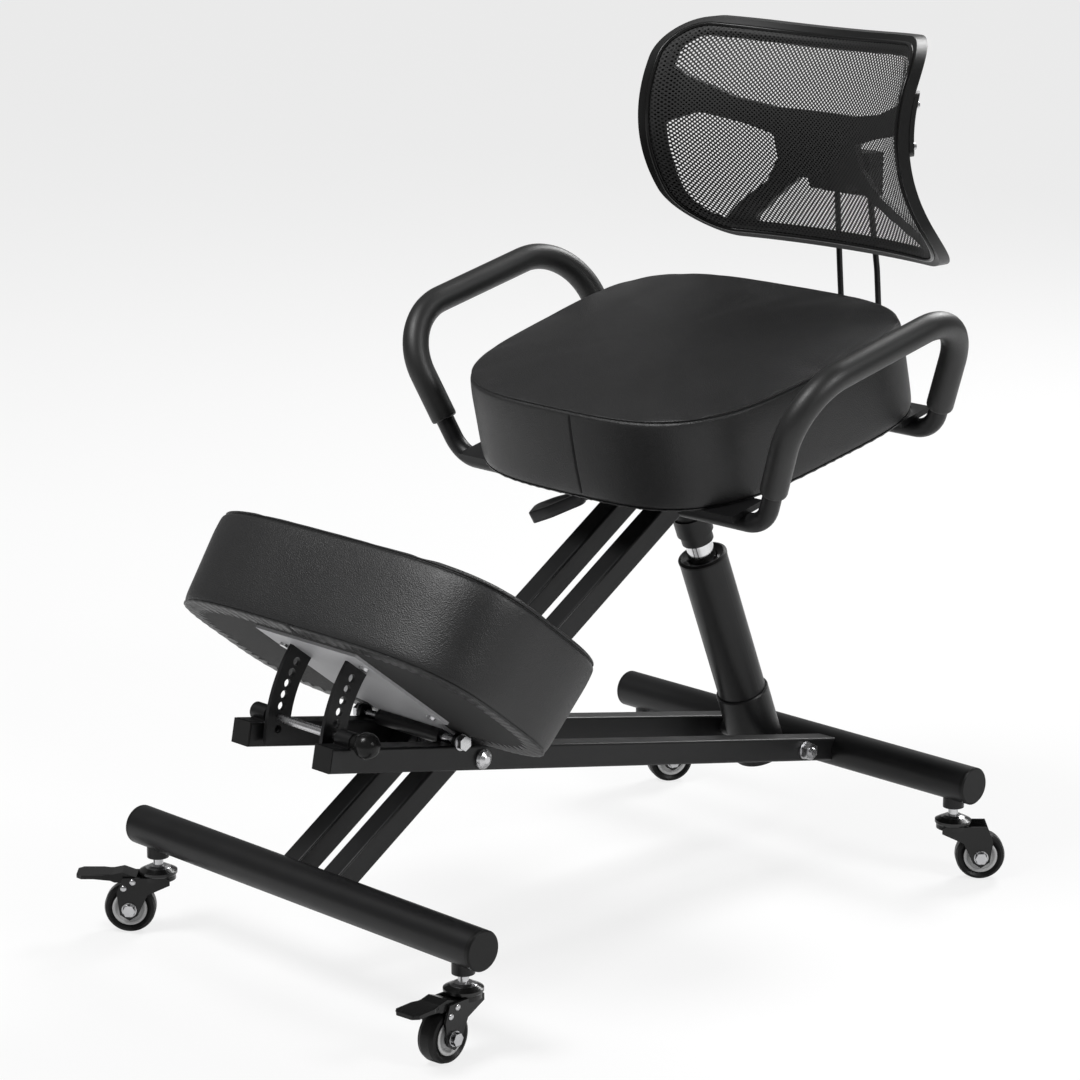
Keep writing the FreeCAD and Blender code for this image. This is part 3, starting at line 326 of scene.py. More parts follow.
# %% [markdown]
# ## Plywood and lining
# Under each cushion the board shows between the stapled edges of the cover.
# On this chair it is covered by a thin black lining.

# %% Lining cloth


def lining():
    finish = Finish("black_lining")
    across, back, up = finish.parts()
    weave = finish.node("ShaderNodeTexWave", {"wave_type": "BANDS", "bands_direction": "X"}, out="Fac",
                        Vector=finish.place, Scale=420.0, Distortion=1.5)
    felt = finish.noise(700.0, 4.0)
    shade = finish.shades(felt, (0.008, 0.008, 0.008), (0.02, 0.02, 0.02))
    return finish.surface(shade, felt * 0.2 + 0.7, bump=weave * 0.5 + felt, depth=0.0002)


lining_cloth = lining()

# %% [markdown]
# ## Caster stems
# A caster's threaded stem is bright zinc, and the ball race that it carries
# is painted glossy black like the fork. Both are one turned part here, so
# the finish changes with the height above the floor.

# %% Gloss paint, and stems with their races
gloss_paint = powder_coat("gloss_black_paint", (0.004, 0.004, 0.004), (0.008, 0.008, 0.008), 0.14)
RACE_TOP = 65.2 * MM


def stem_finish():
    finish = Finish("stem_and_race")
    across, back, up = finish.parts()
    bright = up > RACE_TOP
    cloud = finish.noise(60.0, 4.0)
    shade = finish.shades(bright, (0.005, 0.005, 0.005), (0.55, 0.55, 0.56))
    return finish.surface(shade, cloud * 0.1 + 0.16, bright, bump=cloud, depth=0.00003)


stem_and_race = stem_finish()
print("caster finishes:", gloss_paint.name, stem_and_race.name)

# %% [markdown]
# ## Dressing the frame
# Every solid node of the frame keeps its shape and only changes its finish,
# which the record names by its material slot.

# %% Dress the solid nodes
FINISH_OF = {"black_steel": black_steel, "grey_steel": grey_steel, "zinc_steel": zinc, "chrome": chrome,
             "black_plastic": satin_plastic, "brake_plastic": gloss_plastic, "hub_plastic": satin_plastic,
             "tyre": tyre_rubber, "vinyl": black_vinyl, "plywood": lining_cloth, "foam_grip": foam_skin,
             "mesh": satin_plastic}
slot_of = {part["node"]: part["material_slot"] for part in frame["record"]["subparts"]}
for name, node in frame["nodes"].items():
    wear(node, FINISH_OF[slot_of[name]])
for name in ("front_left", "front_right", "rear_left", "rear_right"):
    wear(frame["nodes"]["caster_fork_" + name], gloss_paint)
for name in ("front_caster_mounts", "rear_caster_mounts"):
    wear(frame["nodes"][name], stem_and_race)
wear(frame["nodes"]["lock_pin_knob"], gloss_plastic)
print("dressed", len(frame["nodes"]), "nodes")

# %% [markdown]
# ## Studio
# The photograph has a pure white ground and large soft lights: one broad
# light from above and the left, a weaker fill from the right. The floor is
# pale and plain.

# %% Floor, lights and world


def make_floor():
    mesh = bpy.data.meshes.new("floor")
    shape = bmesh.new()
    bmesh.ops.create_grid(shape, x_segments=1, y_segments=1, size=12.0)
    shape.to_mesh(mesh)
    shape.free()
    floor = bpy.data.objects.new("floor", mesh)
    bpy.context.scene.collection.objects.link(floor)
    finish = Finish("pale_floor")
    grain = finish.noise(3.0)
    wear(floor, finish.surface(finish.shades(grain, (0.8, 0.8, 0.8), (0.83, 0.83, 0.83)), 0.7))
    tree = floor.data.materials[0].node_tree
    lit = tree.nodes["Principled BSDF"]
    paper = tree.nodes.new("ShaderNodeEmission")
    paper.inputs["Strength"].default_value = 1.0
    rays = tree.nodes.new("ShaderNodeLightPath")
    share = finish.maths("MULTIPLY", Wire(finish, rays.outputs["Is Camera Ray"]), 0.78)
    mix = tree.nodes.new("ShaderNodeMixShader")
    tree.links.new(share.socket, mix.inputs[0])
    tree.links.new(lit.outputs[0], mix.inputs[1])
    tree.links.new(paper.outputs[0], mix.inputs[2])
    tree.links.new(mix.outputs[0], tree.nodes["Material Output"].inputs[0])


def make_light(name, place, size, power):
    data = bpy.data.lights.new(name, "AREA")
    data.shape = "DISK"
    data.size = size
    data.energy = power
    light = bpy.data.objects.new(name, data)
    bpy.context.scene.collection.objects.link(light)
    light.location = place
    light.rotation_euler = (Vector((0, 0, 0.45)) - Vector(place)).to_track_quat("-Z", "Y").to_euler()


def make_world():
    world = bpy.data.worlds.new("studio")
    bpy.context.scene.world = world
    world.use_nodes = True
    tree = world.node_tree
    ground = tree.nodes["Background"]
    ground.inputs["Color"].default_value = (1, 1, 1, 1)
    ground.inputs["Strength"].default_value = 0.22
    seen = tree.nodes.new("ShaderNodeBackground")
    seen.inputs["Strength"].default_value = 1.0
    rays = tree.nodes.new("ShaderNodeLightPath")
    mix = tree.nodes.new("ShaderNodeMixShader")
    tree.links.new(rays.outputs["Is Camera Ray"], mix.inputs[0])
    tree.links.new(ground.outputs[0], mix.inputs[1])
    tree.links.new(seen.outputs[0], mix.inputs[2])
    tree.links.new(mix.outputs[0], tree.nodes["World Output"].inputs[0])


make_floor()
make_light("key_light", (-0.6, -2.0, 3.4), 1.4, 105.0)
make_light("side_light", (3.0, 0.6, 2.2), 1.1, 50.0)
make_light("back_light", (-0.6, 2.8, 2.4), 1.3, 80.0)
make_world()
bpy.context.scene.view_settings.view_transform = "Standard"
print("studio ready")

# %% [markdown]
# ## Cushions
# A cushion is foam on a board with a sewn cover pulled tight over it. The
# side panel stands nearly upright, and the top panel is joined to it by a
# seam that draws in a narrow groove. The shell starts as one circle that is
# bent into the rounded trapezoid of the board, and is extruded ring by ring
# up the side and over the crown. A short cloth simulation then blows the
# cover up against its seams, the way foam does.

# %% The two cushion places
SEAT_PLACE = Matrix.Translation((0, BAR_Y - 162.1 * MM, 456.5 * MM)) @ Matrix.Rotation(math.radians(12.9), 4, "X")
KNEE_PLACE = Matrix.Translation((0, BAR_Y - 605.5 * MM, 287.7 * MM)) @ Matrix.Rotation(math.radians(-37.9), 4, "X")


def oval(turn, half_width, flare, half_depth, exponent):
    """A point of a cushion's outline, in millimetres."""
    across = math.copysign(abs(math.cos(turn)) ** (2 / exponent), math.cos(turn))
    back = math.copysign(abs(math.sin(turn)) ** (2 / exponent), math.sin(turn))
    return Vector(((half_width + flare * back) * across, half_depth * back, 0))


def even_turns(shape, count):
    """Turns that space the outline's points evenly along its length."""
    fine = [2 * math.pi * i / 3600 for i in range(3601)]
    points = [oval(turn, *shape) for turn in fine]
    walked = [0.0]
    for a, b in zip(points, points[1:]):
        walked.append(walked[-1] + (b - a).length)
    turns, j = [], 0
    for i in range(count):
        while walked[j] < walked[-1] * i / count:
            j += 1
        turns.append(fine[j])
    return turns


def new_piece(name, shape, place=Matrix.Identity(4), smooth=True):
    """Turns a bmesh in millimetres into a piece of the chair."""
    shape.transform(place @ Matrix.Scale(MM, 4))
    bmesh.ops.recalc_face_normals(shape, faces=shape.faces)
    mesh = bpy.data.meshes.new(name)
    shape.to_mesh(mesh)
    shape.free()
    for face in mesh.polygons:
        face.use_smooth = smooth
    piece = bpy.data.objects.new(name, mesh)
    bpy.context.scene.collection.objects.link(piece)
    return piece


def grow_ring(shape, edges):
    """Extrudes a ring of edges and returns the new vertices and edges."""
    made = bmesh.ops.extrude_edge_only(shape, edges=edges)["geom"]
    made = [g for g in made if not isinstance(g, bmesh.types.BMEdge) or all(v in made for v in g.verts)]
    return ([g for g in made if isinstance(g, bmesh.types.BMVert)],
            [g for g in made if isinstance(g, bmesh.types.BMEdge)])


def ring_shell(outline, turns, rings):
    """A closed shell: every ring is (inset, share, height) of the outline."""
    shape = bmesh.new()
    number = shape.verts.layers.int.new("turn")
    rank = shape.verts.layers.int.new("ring")
    loop = bmesh.ops.create_circle(shape, segments=len(turns), radius=1.0)["verts"]
    edges = list(shape.edges)
    for i, vert in enumerate(loop):
        vert[number] = i
    for row, (inset, share, height) in enumerate(rings):
        if row:
            loop, edges = grow_ring(shape, edges)
        half_width, flare, half_depth, exponent = outline
        for vert in loop:
            spot = oval(turns[vert[number]], half_width - inset, flare, half_depth - inset, exponent)
            vert.co = (spot.x * share, spot.y * share, height)
            vert[rank] = row
        if row == 0:
            bmesh.ops.contextual_create(shape, geom=edges)
    bmesh.ops.contextual_create(shape, geom=edges)
    return shape


def blow_up(piece, held, cap):
    """Cloth pressure from inside, with the seams held, and each point moved by no more than the cap."""
    start = [vert.co.copy() for vert in piece.data.vertices]
    group = piece.vertex_groups.new(name="seams")
    for index, hold in held.items():
        group.add([index], hold, "REPLACE")
    cloth = piece.modifiers.new("cover", "CLOTH")
    cloth.settings.use_pressure = True
    cloth.settings.uniform_pressure_force = 4.0
    cloth.settings.effector_weights.gravity = 0.0
    cloth.settings.vertex_group_mass = group.name
    cloth.settings.quality = 5
    cloth.settings.tension_stiffness = cloth.settings.compression_stiffness = 40.0
    cloth.settings.bending_stiffness = 20.0
    for step in range(1, 21):
        bpy.context.scene.frame_set(step)
    blown = piece.evaluated_get(bpy.context.evaluated_depsgraph_get()).data
    moves = [blown.vertices[i].co - spot for i, spot in enumerate(start)]
    piece.modifiers.remove(cloth)
    piece.vertex_groups.clear()
    bpy.context.scene.frame_set(1)
    for vert, spot, move in zip(piece.data.vertices, start, moves):
        vert.co = spot + move * min(1.0, cap / max(move.length, 1e-9))
    return max(move.length for move in moves)


# %% Build a cushion cover


def calm(cover, loose):
    """Evens out the folds that radiate from the middle of the crown."""
    shape = bmesh.new()
    shape.from_mesh(cover.data)
    shape.verts.ensure_lookup_table()
    soft = [vert for vert in shape.verts if loose[vert.index]]
    for step in range(14):
        bmesh.ops.smooth_vert(shape, verts=soft, factor=0.5, use_axis_x=True, use_axis_y=True, use_axis_z=True)
    shape.to_mesh(cover.data)
    shape.free()


def cushion(name, node, body, outline, seam, lean, place, crown, columns=144):
    turns = even_turns(outline, columns)
    side = [(24.0, 1, -0.2), (14.0, 1, -0.3), (6.0, 1, -0.3), (2.4, 1, 0.8), (0.9, 1, 5.0), (0.3 - lean * 0.05, 1, 12.0)]
    steps = 7
    for i in range(1, steps):
        share = i / steps
        side.append((0.2 - lean * share, 1, 12.0 + (seam - 20.0) * share))
    lip = [(1.0 - lean, 1, seam - 5.5), (1.6 - lean, 1, seam - 3.0), (2.4 - lean, 1, seam - 1.8), (4.4 - lean, 1, seam - 0.9),
           (4.4 - lean, 1, seam - 0.1), (2.6 - lean, 1, seam + 0.5), (2.9 - lean, 1, seam + 1.8),
           (4.6 - lean, 1, seam + 3.6), (8.5 - lean, 1, seam + 5.6), (15.0 - lean, 1, seam + 7.0)]
    top = []
    for share in (0.95, 0.88, 0.8, 0.71, 0.62, 0.53, 0.44, 0.35, 0.26, 0.18, 0.1, 0.04):
        top.append((15.0 - lean, share, seam + 7.0 + crown * (1 - share ** 2.4)))
    rings = side + lip + top
    shape = ring_shell(outline, turns, rings)
    rank = shape.verts.layers.int["ring"]
    ranks = [vert[rank] for vert in shape.verts]
    cover = new_piece(name, shape, place)
    wear(cover, black_vinyl)
    cover.data.materials.append(lining_cloth)
    for face in cover.data.polygons:
        face.material_index = 1 if all(ranks[i] <= 1 for i in face.vertices) else 0
    held = {}
    seam_rows = range(len(side) + 1, len(side) + 6)
    for index, row in enumerate(ranks):
        if row <= 4 or row in seam_rows:
            held[index] = 1.0
    print(name, "blown up by", round(1000 * blow_up(cover, held, 4.5 * MM), 1), "mm before the cap")
    calm(cover, [row > len(side) + len(lip) - 2 for row in ranks])
    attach(cover, body)
    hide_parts(node)
    return cover


SEAT_OUTLINE = (194.7, 11.1, 176.5, 3.6)
KNEE_OUTLINE = (204.0, 0.0, 110.0, 3.6)
seat_cover = cushion("seat_cover", "seat_cushion", "seat", SEAT_OUTLINE, 91.0, 0.0, SEAT_PLACE, 3.5)
knee_cover = cushion("knee_cover", "knee_cushion", "knee_pad", KNEE_OUTLINE, 94.0, 5.0, KNEE_PLACE, 3.5)

# %% [markdown]
# ## Closing seam
# The side panel of the seat is one strip of vinyl, closed by an upright seam
# near the middle of the front. The sewing pulls a sharp line into the foam.
# Three cuts through the front of the cover give it edges, and the middle
# one is pushed in.

# %% The upright seam on the seat front
SEAM_ACROSS = 20.0


def upright_seam(cover, place, across, depth):
    shape = bmesh.new()
    shape.from_mesh(cover.data)
    inverse = place.inverted()
    for offset in (-3.0, -1.1, 0.0, 1.1, 3.0):
        near = [f for f in shape.faces
                if (inverse @ f.calc_center_median()).y < -0.15 and 4 * MM < (inverse @ f.calc_center_median()).z < 89 * MM
                and abs((inverse @ f.calc_center_median()).x - across * MM) < 20 * MM]
        geometry = near + list({e for f in near for e in f.edges}) + list({v for f in near for v in f.verts})
        bmesh.ops.bisect_plane(shape, geom=geometry, dist=1e-7,
                               plane_co=place @ Vector(((across + offset) * MM, 0, 0)),
                               plane_no=place.to_3x3() @ Vector((1, 0, 0)))
    sewn = 0
    for vert in shape.verts:
        spot = inverse @ vert.co
        if abs(spot.x - across * MM) < 2e-6 and spot.y < -0.15 and 5 * MM < spot.z < 88 * MM:
            spot.y += depth * MM
            vert.co = place @ spot
            sewn += 1
    shape.to_mesh(cover.data)
    shape.free()
    for face in cover.data.polygons:
        face.use_smooth = True
    print("upright seam points:", sewn)


upright_seam(seat_cover, SEAT_PLACE, SEAM_ACROSS, 2.2)
for cover in (seat_cover, knee_cover):
    fine = cover.modifiers.new("smooth", "SUBSURF")
    fine.levels = fine.render_levels = 1

# %% [markdown]
# ## Stapled edge
# Under the board the cover is folded over and stapled. The curve of the
# outline leaves too much vinyl there, so it is laid in small pleats, one
# every twelve millimetres or so, and the raw edge comes out scalloped.

# %% Pleated lap under each cushion


def stapled_lap(name, body, outline, place, depth=1.0, columns=480):
    turns = even_turns(outline, columns)
    half_width, flare, half_depth, exponent = outline
    shape = bmesh.new()
    number = shape.verts.layers.int.new("turn")
    loop = bmesh.ops.create_circle(shape, segments=columns, radius=1.0)["verts"]
    edges = list(shape.edges)
    for i, vert in enumerate(loop):
        vert[number] = i
    pleats = round(columns / 5.5)
    rows = ((1.6, 0.0, 1.5, 0.0), (1.8, 0.2, 0.2, 0.1), (3.4, 0.4, -0.7, 0.3), (6.5, 0.8, -1.1, 0.9), (10.5, 1.2, -1.3, 1.3),
            (15.5, 2.6, -1.3, 1.5), (19.0, 3.6, -1.0, 0.9), (19.3, 3.6, -0.35, 0.0), (8.0, 0.0, -0.35, 0.0))
    for row, (inset, scallop, height, fold) in enumerate(rows):
        if row:
            loop, edges = grow_ring(shape, edges)
        for vert in loop:
            turn = vert[number] / columns
            phase = 2 * math.pi * turn * pleats + 1.7 * math.sin(2 * math.pi * 7 * turn) + 0.9 * math.sin(2 * math.pi * 17 * turn)
            wave = math.sin(phase) + 0.35 * math.sin(2 * phase + 0.8)
            reach = inset + scallop * wave
            spot = oval(turns[vert[number]], half_width - reach, flare, half_depth - reach, exponent)
            vert.co = (spot.x, spot.y, (height + fold * 0.5 * wave) * (depth if height < 0 else 1.0))
    lap = new_piece(name, shape, place)
    wear(lap, black_vinyl)
    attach(lap, body)
    return lap


seat_lap = stapled_lap("seat_lap", "seat", SEAT_OUTLINE, SEAT_PLACE)
knee_lap = stapled_lap("knee_lap", "knee_pad", KNEE_OUTLINE, KNEE_PLACE, depth=0.55)
print("laps:", len(seat_lap.data.polygons), len(knee_lap.data.polygons), "faces")

# %% [markdown]
# ## Bent tubes
# Grips, beads and trims are round sections along a bent line. A curve with
# a round bevel gives such a tube, and its points can be thinned at the ends
# to round them off. The corners are arcs, as a tube bender makes them.

# %% A bent line and a tube along it


def bent_line(corners, radii, step=4.0):
    """Points along straight runs joined by arcs, in millimetres."""
    points = [Vector(corners[0])]
    for before, corner, after, radius in zip(corners, corners[1:], corners[2:], radii):
        corner = Vector(corner)
        to_before = (Vector(before) - corner).normalized()
        to_after = (Vector(after) - corner).normalized()
        opening = to_before.angle(to_after)
        reach = radius / math.tan(opening / 2)
        middle = corner + (to_before + to_after).normalized() * (radius / math.sin(opening / 2))
        start = corner + to_before * reach - middle
        end = corner + to_after * reach - middle
        sweep = start.angle(end)
        count = max(2, int(radius * sweep / step))
        for i in range(count + 1):
            share = i / count
            points.append(middle + (start * math.sin((1 - share) * sweep) + end * math.sin(share * sweep)) / math.sin(sweep))
    points.append(Vector(corners[-1]))
    dense = [points[0]]
    for a, b in zip(points, points[1:]):
        count = max(1, int((b - a).length / (3 * step)))
        dense += [a.lerp(b, i / count) for i in range(1, count + 1)]
    return dense


def tube(name, points, radius, place=Matrix.Identity(4), closed=False, blunt=0.0, sides=6):
    """A tube along the points; blunt rounds its ends over that length."""
    if blunt:
        head = [points[0].lerp(points[1], blunt * s / (points[1] - points[0]).length) for s in (0.0, 0.12, 0.4, 1.0)]
        tail = [points[-1].lerp(points[-2], blunt * s / (points[-1] - points[-2]).length) for s in (1.0, 0.4, 0.12, 0.0)]
        scales = [0.72, 0.86, 0.96, 1.0] + [1.0] * (len(points) - 2) + [1.0, 0.96, 0.86, 0.72]
        points = head + points[1:-1] + tail
    else:
        scales = [1.0] * len(points)
    data = bpy.data.curves.new(name, "CURVE")
    data.dimensions = "3D"
    data.bevel_depth = radius * MM
    data.bevel_resolution = sides
    data.use_fill_caps = not closed
    spline = data.splines.new("POLY")
    spline.points.add(len(points) - 1)
    for slot, point, scale in zip(spline.points, points, scales):
        slot.co = (*(place @ (Vector(point) * MM)), 1)
        slot.radius = scale
    spline.use_cyclic_u = closed
    line = bpy.data.objects.new(name + "_line", data)
    mesh = bpy.data.meshes.new_from_object(line)
    bpy.data.objects.remove(line)
    shape = bmesh.new()
    shape.from_mesh(mesh)
    bpy.data.meshes.remove(mesh)
    bmesh.ops.remove_doubles(shape, verts=shape.verts, dist=1e-6)
    return new_piece(name, shape, Matrix.Scale(1 / MM, 4))


# %% [markdown]
# ## Foam grips
# Each armrest wears a sleeve of foam from near the front foot, over the top
# to near the rear foot. Its ends are cut square with a softly rounded edge.

# %% Grips on both armrests
ARM_FOOT, ARM_TOP, ARM_BACK = (210.0, -14.5), (274.5, 125.5), 124.0


def arm_point(side, share, back):
    return Vector((side * (ARM_FOOT[0] + share * (ARM_TOP[0] - ARM_FOOT[0])), back,
                   ARM_FOOT[1] + share * (ARM_TOP[1] - ARM_FOOT[1])))


for name, side in (("left", 1), ("right", -1)):
    route = bent_line([arm_point(side, 0.265, -ARM_BACK), arm_point(side, 1, -ARM_BACK), arm_point(side, 1, ARM_BACK),
                       arm_point(side, 0.195, ARM_BACK)], [62.0, 66.0])
    grip = tube("foam_grip_" + name, route, 13.5, SEAT_PLACE, blunt=3.0, sides=10)
    wear(grip, foam_skin)
    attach(grip, "seat")
    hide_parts("armrest_grip_" + name)
    print(grip.name, len(grip.data.polygons), "faces")

# %% [markdown]
# ## Backrest net
# The net is knitted polyester, stretched in the frame. Its holes stand in
# staggered rows about three and a half millimetres apart. Real holes would
# need a hundred thousand faces, so the sheet is smooth, and its finish is
# clear where a hole is. The pattern is worked out from place on the sheet.

# %% The backrest's curved face
BACK_MIDDLE, BACK_HALF = 731.6, 110.8


def back_place(across, up, behind):
    """A point of the backrest, up from its middle and behind its face."""
    share = up / BACK_HALF
    bulge = 4.4 - 17.3 * share + 56.3 * (share - 0.06) ** 2
    flattening = 27.0 * max(0.0, -share) ** 2 * (1.0 - (across / 175.0) ** 2)
    sweep = 279.0 - math.sqrt(279.0 ** 2 - across ** 2)
    return Vector((across, BAR_Y / MM + bulge - flattening - sweep + behind, BACK_MIDDLE + up))


def back_outline(inset, step=5.0):
    """Points round the backrest at an inset from its edge, as (across, up)."""
    low, high = -BACK_HALF - 7.0 + inset, BACK_HALF + 7.0 - inset
    wide, narrow = 182.0 - inset, 173.0 - inset
    corners = [(0, low), (wide, low), (narrow, high), (0, high - 9.0), (-narrow, high), (-wide, low), (0, low)]
    radii = [52.0 - inset, 42.0 - inset, 1500.0, 42.0 - inset, 52.0 - inset]
    return bent_line([(x, z, 0) for x, z in corners], radii, step)[:-1]


# %% Net finish


def net():
    finish = Finish("black_net")
    across, back, up = finish.parts()
    rows = 1 / 0.005
    one = finish.maths("FRACT", across * rows + up * rows * 1.15) - 0.5
    two = finish.maths("FRACT", across * rows - up * rows * 1.15) - 0.5
    centre = one * one + two * two
    hole = centre < 0.105
    yarn = finish.noise(1500.0, 2.0)
    shade = finish.shades(yarn, (0.006, 0.006, 0.006), (0.02, 0.02, 0.02))
    return finish.surface(shade, yarn * 0.2 + 0.55, bump=centre + yarn * 0.3, depth=0.0003, alpha=1 - hole)


black_net = net()

# %% The net in its frame
NET_EDGE = 8.5


def ring_rows(shape, outline, rows):
    """Extrudes an outline of the backrest through rows of (share or inset outline, behind)."""
    loop = bmesh.ops.create_circle(shape, segments=len(outline), radius=1.0)["verts"]
    edges = list(shape.edges)
    number = shape.verts.layers.int["turn"]
    for i, vert in enumerate(loop):
        vert[number] = i
    for row, (points, behind) in enumerate(rows):
        if row:
            loop, edges = grow_ring(shape, edges)
        for vert in loop:
            vert.co = back_place(points[vert[number]].x, points[vert[number]].y, behind)
    return edges


def make_net():
    shape = bmesh.new()
    shape.verts.layers.int.new("turn")
    border = back_outline(NET_EDGE)
    shares = [1.0, 0.985, 0.97, 0.95, 0.925, 0.9, 0.86, 0.8, 0.72, 0.64, 0.56, 0.48, 0.4, 0.32, 0.24, 0.16, 0.08]
    rows = []
    for share in shares:
        sunk = min(1.0, max(0.0, (0.965 - share) / 0.08))
        rows.append(([p * share for p in border], -0.7 + 5.0 * sunk * sunk * (3 - 2 * sunk)))
    edges = ring_rows(shape, border, rows)
    bmesh.ops.contextual_create(shape, geom=edges)
    bmesh.ops.recalc_face_normals(shape, faces=shape.faces)
    bmesh.ops.solidify(shape, geom=list(shape.faces), thickness=0.4)
    return new_piece("backrest_net", shape)


backrest_net = make_net()
wear(backrest_net, black_net)
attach(backrest_net, "seat")
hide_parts("back_mesh")
print("net:", len(backrest_net.data.polygons), "faces")

# %% [markdown]
# ## Bead and border of the net
# A glossy bead clamps the net along the frame. Inside it the frame goes on as
# a dark border behind the net, before the see-through part begins.

# %% Bead and border


def make_border():
    shape = bmesh.new()
    shape.verts.layers.int.new("turn")
    outer, inner = back_outline(12.0), back_outline(20.0)
    count = min(len(outer), len(inner))
    outer = [outer[i * len(outer) // count] for i in range(count)]
    inner = [inner[i * len(inner) // count] for i in range(count)]
    ring_rows(shape, outer, [(outer, 0.8), (inner, 5.4), (inner, 6.9), (outer, 6.9), (outer, 0.8)])
    bmesh.ops.remove_doubles(shape, verts=shape.verts, dist=1e-4)
    return new_piece("net_border", shape)


bead = tube("backrest_bead", [back_place(p.x, p.y, -0.5) for p in back_outline(7.5, 4.0)], 2.3, closed=True)
wear(bead, gloss_plastic)
border = make_border()
wear(border, satin_plastic)
for piece in (bead, border):
    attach(piece, "seat")
print("bead:", len(bead.data.polygons), "faces, border:", len(border.data.polygons), "faces")

# %% [markdown]
# ## Wheels
# A caster's wheel has a pale moulded ring between its tyre and its bearing
# cap, on both sides, and the axle ends in a bright nut. The ring is one
# section, spun once round the axle.

# %% Wheel rings and axle nuts
FRONT_Y = BAR_Y / MM - 677.6
CASTERS = (("front_left", 1, FRONT_Y, 276.0), ("front_right", -1, FRONT_Y, 226.0),
           ("rear_left", 1, BAR_Y / MM, 46.0), ("rear_right", -1, BAR_Y / MM, 62.0))


def caster_place(side, place_y, angle):
    return Matrix.Translation((side * 218.9 * MM, place_y * MM, 0)) @ Matrix.Rotation(math.radians(angle - 90.0), 4, "Z")


def spun(shape, outline, side, centre):
    """Spins an (along X, radius) outline round the X axis through a centre."""
    verts = [shape.verts.new((side * along, centre.y, centre.z + radius)) for along, radius in outline]
    edges = [shape.edges.new(pair) for pair in zip(verts, verts[1:] + verts[:1])]
    bmesh.ops.spin(shape, geom=verts + edges, cent=centre, axis=(1, 0, 0), angle=2 * math.pi, steps=40,
                   use_merge=True)


def make_hub_ring(name, place):
    shape = bmesh.new()
    for side in (1, -1):
        spun(shape, [(5.7, 7.0), (8.4, 7.4), (8.8, 8.0), (8.2, 9.0), (7.2, 11.0), (8.4, 12.9), (9.5, 14.4), (9.6, 16.2),
                     (9.2, 17.0), (7.8, 17.0), (5.7, 13.2)], side, Vector((0, 28.0, 25.0)))
    return new_piece("wheel_ring_" + name, shape, place)


def make_axle_nuts(name, place):
    shape = bmesh.new()
    for side in (1, -1):
        for radius, start, depth, count in ((7.4, 14.2, 0.9, 32), (6.5, 15.0, 4.0, 6)):
            made = bmesh.ops.create_cone(shape, cap_ends=True, segments=count, radius1=radius, radius2=radius, depth=depth)
            bmesh.ops.rotate(shape, verts=made["verts"], matrix=Matrix.Rotation(math.pi / 2, 3, "Y"))
            bmesh.ops.translate(shape, verts=made["verts"], vec=(side * (start + depth / 2), 28.0, 25.0))
    bmesh.ops.bevel(shape, geom=list(shape.edges), offset=0.35, affect="EDGES", segments=2, profile=0.5, material=-1)
    return new_piece("axle_nuts_" + name, shape, place, smooth=False)


hub_grey = powder_coat("pale_hub", (0.42, 0.42, 0.42), (0.55, 0.55, 0.55), 0.3)
for name, side, place_y, angle in CASTERS:
    place = caster_place(side, place_y, angle)
    ring = make_hub_ring(name, place)
    nuts = make_axle_nuts(name, place)
    wear(ring, hub_grey)
    wear(nuts, zinc)
    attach(ring, "wheel_" + name)
    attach(nuts, "swivel_" + name)
print("wheel rings:", len(ring.data.polygons), "faces each")

# %% [markdown]
# ## Brake rivets
# Each pedal is held between the fork's cheeks by rivets, whose bright domed
# heads show on both sides.

# %% Rivets of the two brake pedals
for name, side, place_y, angle in CASTERS[:2]:
    place = caster_place(side, place_y, angle)
    shape = bmesh.new()
    for way in (1, -1):
        for back, up in ((24.0, 53.5), (33.0, 47.0)):
            made = bmesh.ops.create_uvsphere(shape, u_segments=20, v_segments=10, radius=3.2)
            bmesh.ops.scale(shape, verts=made["verts"], vec=(0.5, 1, 1))
            bmesh.ops.translate(shape, verts=made["verts"], vec=(way * 14.4, back, up))
    rivets = new_piece("brake_rivets_" + name, shape, place)
    wear(rivets, zinc)
    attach(rivets, "swivel_" + name)
print("rivets added")

# %% [markdown]
# ## Height lever
# The paddle is a moulded grip with a dished face inside a raised border. It
# starts as a grid of one face, whose outline is rounded by a bevel of its
# corners, and insets and extrusions make the border and the dish.

# %% Lever paddle
WRIST, TIP = Vector((-120.0, -51.0, -75.0)), Vector((-172.0, -76.0, -94.0))
GRIP_WAY = (TIP - WRIST).normalized()
SIDE_WAY = Vector((0, 0, 1)).cross(GRIP_WAY).normalized()
UP_WAY = GRIP_WAY.cross(SIDE_WAY)


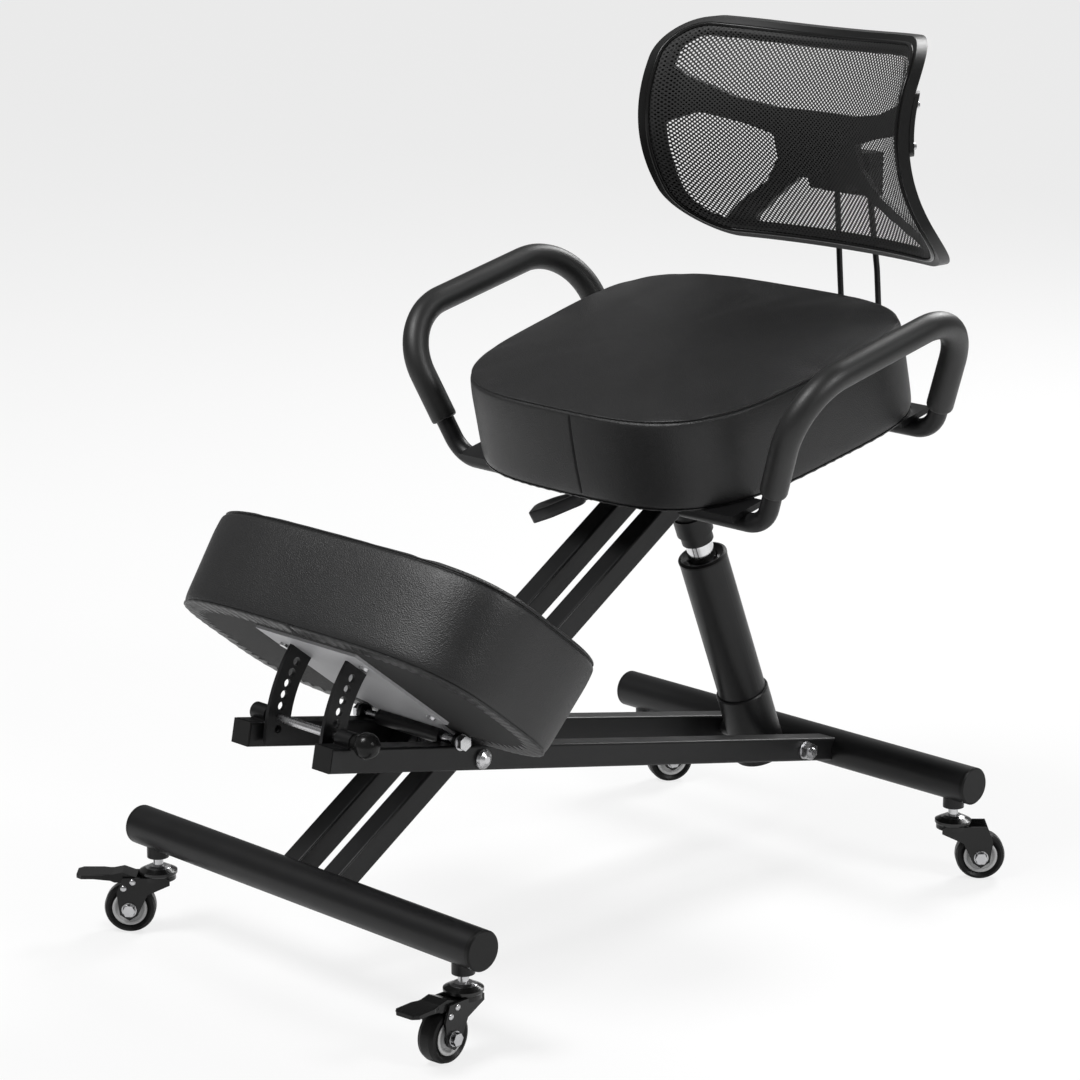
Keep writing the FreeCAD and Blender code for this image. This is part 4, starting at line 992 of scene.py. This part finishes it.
def make_paddle():
    shape = bmesh.new()
    length = (TIP - WRIST).length
    outline = [(0, -6.0), (14, -8.5), (0.6 * length, -13.5), (length, -12.0), (length, 12.0), (0.6 * length, 13.5),
               (14, 8.5), (0, 6.0)]
    under = [shape.verts.new((x, y, -5.6)) for x, y in outline]
    base = shape.faces.new(under)
    bmesh.ops.bevel(shape, geom=list(shape.verts), offset=5.0, affect="VERTICES", segments=4, profile=0.5, material=-1,
                    clamp_overlap=True)
    face = shape.faces[:][0]
    grown = bmesh.ops.extrude_face_region(shape, geom=[face])["geom"]
    top = [g for g in grown if isinstance(g, bmesh.types.BMFace)]
    bmesh.ops.translate(shape, verts=top[0].verts, vec=(0, 0, 11.2))
    for keep, drop in ((0.985, -0.9), (0.93, -0.5), (0.8, 0.0), (0.76, 1.0), (0.72, 1.2)):
        grown = bmesh.ops.extrude_face_region(shape, geom=top)["geom"]
        bmesh.ops.delete(shape, geom=top, context="FACES_ONLY")
        top = [g for g in grown if isinstance(g, bmesh.types.BMFace)]
        bmesh.ops.translate(shape, verts=top[0].verts, vec=(0, 0, -drop))
        centre = top[0].calc_center_median()
        bmesh.ops.scale(shape, verts=top[0].verts, vec=(keep, keep, 1), space=Matrix.Translation(-centre))
    frame_of = Matrix((GRIP_WAY, SIDE_WAY, UP_WAY)).transposed().to_4x4()
    frame_of.translation = WRIST
    return new_piece("lever_grip", shape, SEAT_PLACE @ Matrix.Scale(MM, 4) @ frame_of @ Matrix.Scale(1 / MM, 4))


paddle = make_paddle()
paddle_grey = moulded("dark_grey_plastic", (0.02, 0.02, 0.021), (0.032, 0.032, 0.033), 0.3)
wear(paddle, paddle_grey)
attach(paddle, "lever")
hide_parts("lever_paddle")
print("paddle:", len(paddle.data.polygons), "faces")

# %% [markdown]
# ## Weld beads
# The leg rails are welded to the front foot bar. A weld is a run of small
# overlapping puddles, so each bead here is a thin tube whose thickness rises
# and falls along the seam.

# %% Welds round the leg rails at the front bar


def weld(name, points, radius):
    bead_line = bent_line(points, [2.0] * (len(points) - 2), 1.0)
    data = bpy.data.curves.new(name, "CURVE")
    data.dimensions = "3D"
    data.bevel_depth = radius * MM
    data.bevel_resolution = 2
    data.use_fill_caps = True
    spline = data.splines.new("POLY")
    spline.points.add(len(bead_line) - 1)
    for i, (slot, point) in enumerate(zip(spline.points, bead_line)):
        slot.co = (*(point * MM), 1)
        slot.radius = 1.0 + 0.22 * math.sin(1.3 * i)
    line = bpy.data.objects.new(name + "_line", data)
    mesh = bpy.data.meshes.new_from_object(line)
    bpy.data.objects.remove(line)
    shape = bmesh.new()
    shape.from_mesh(mesh)
    bpy.data.meshes.remove(mesh)
    return shape


welds = bmesh.new()
LEG_SLOPE = math.radians(33.1)
for middle in (28.6, -28.6):
    for edge in (-12.0, 12.0):
        points = []
        for step in range(9):
            up = -12.0 + 24.0 * step / 8
            z = 98.3 + up * math.cos(LEG_SLOPE)
            reach = math.sqrt(max(0.0, 19.4 ** 2 - (z + 0 - 102.5) ** 2))
            points.append((middle + edge, FRONT_Y + reach, z))
        part = weld("weld", points, 1.5)
        copy = bpy.data.meshes.new("weld")
        part.to_mesh(copy)
        part.free()
        welds.from_mesh(copy)
        bpy.data.meshes.remove(copy)
leg_welds = new_piece("leg_welds", welds, Matrix.Scale(1 / MM, 4))
wear(leg_welds, black_steel)
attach(leg_welds, "front_leg")
print("welds:", len(leg_welds.data.polygons), "faces")
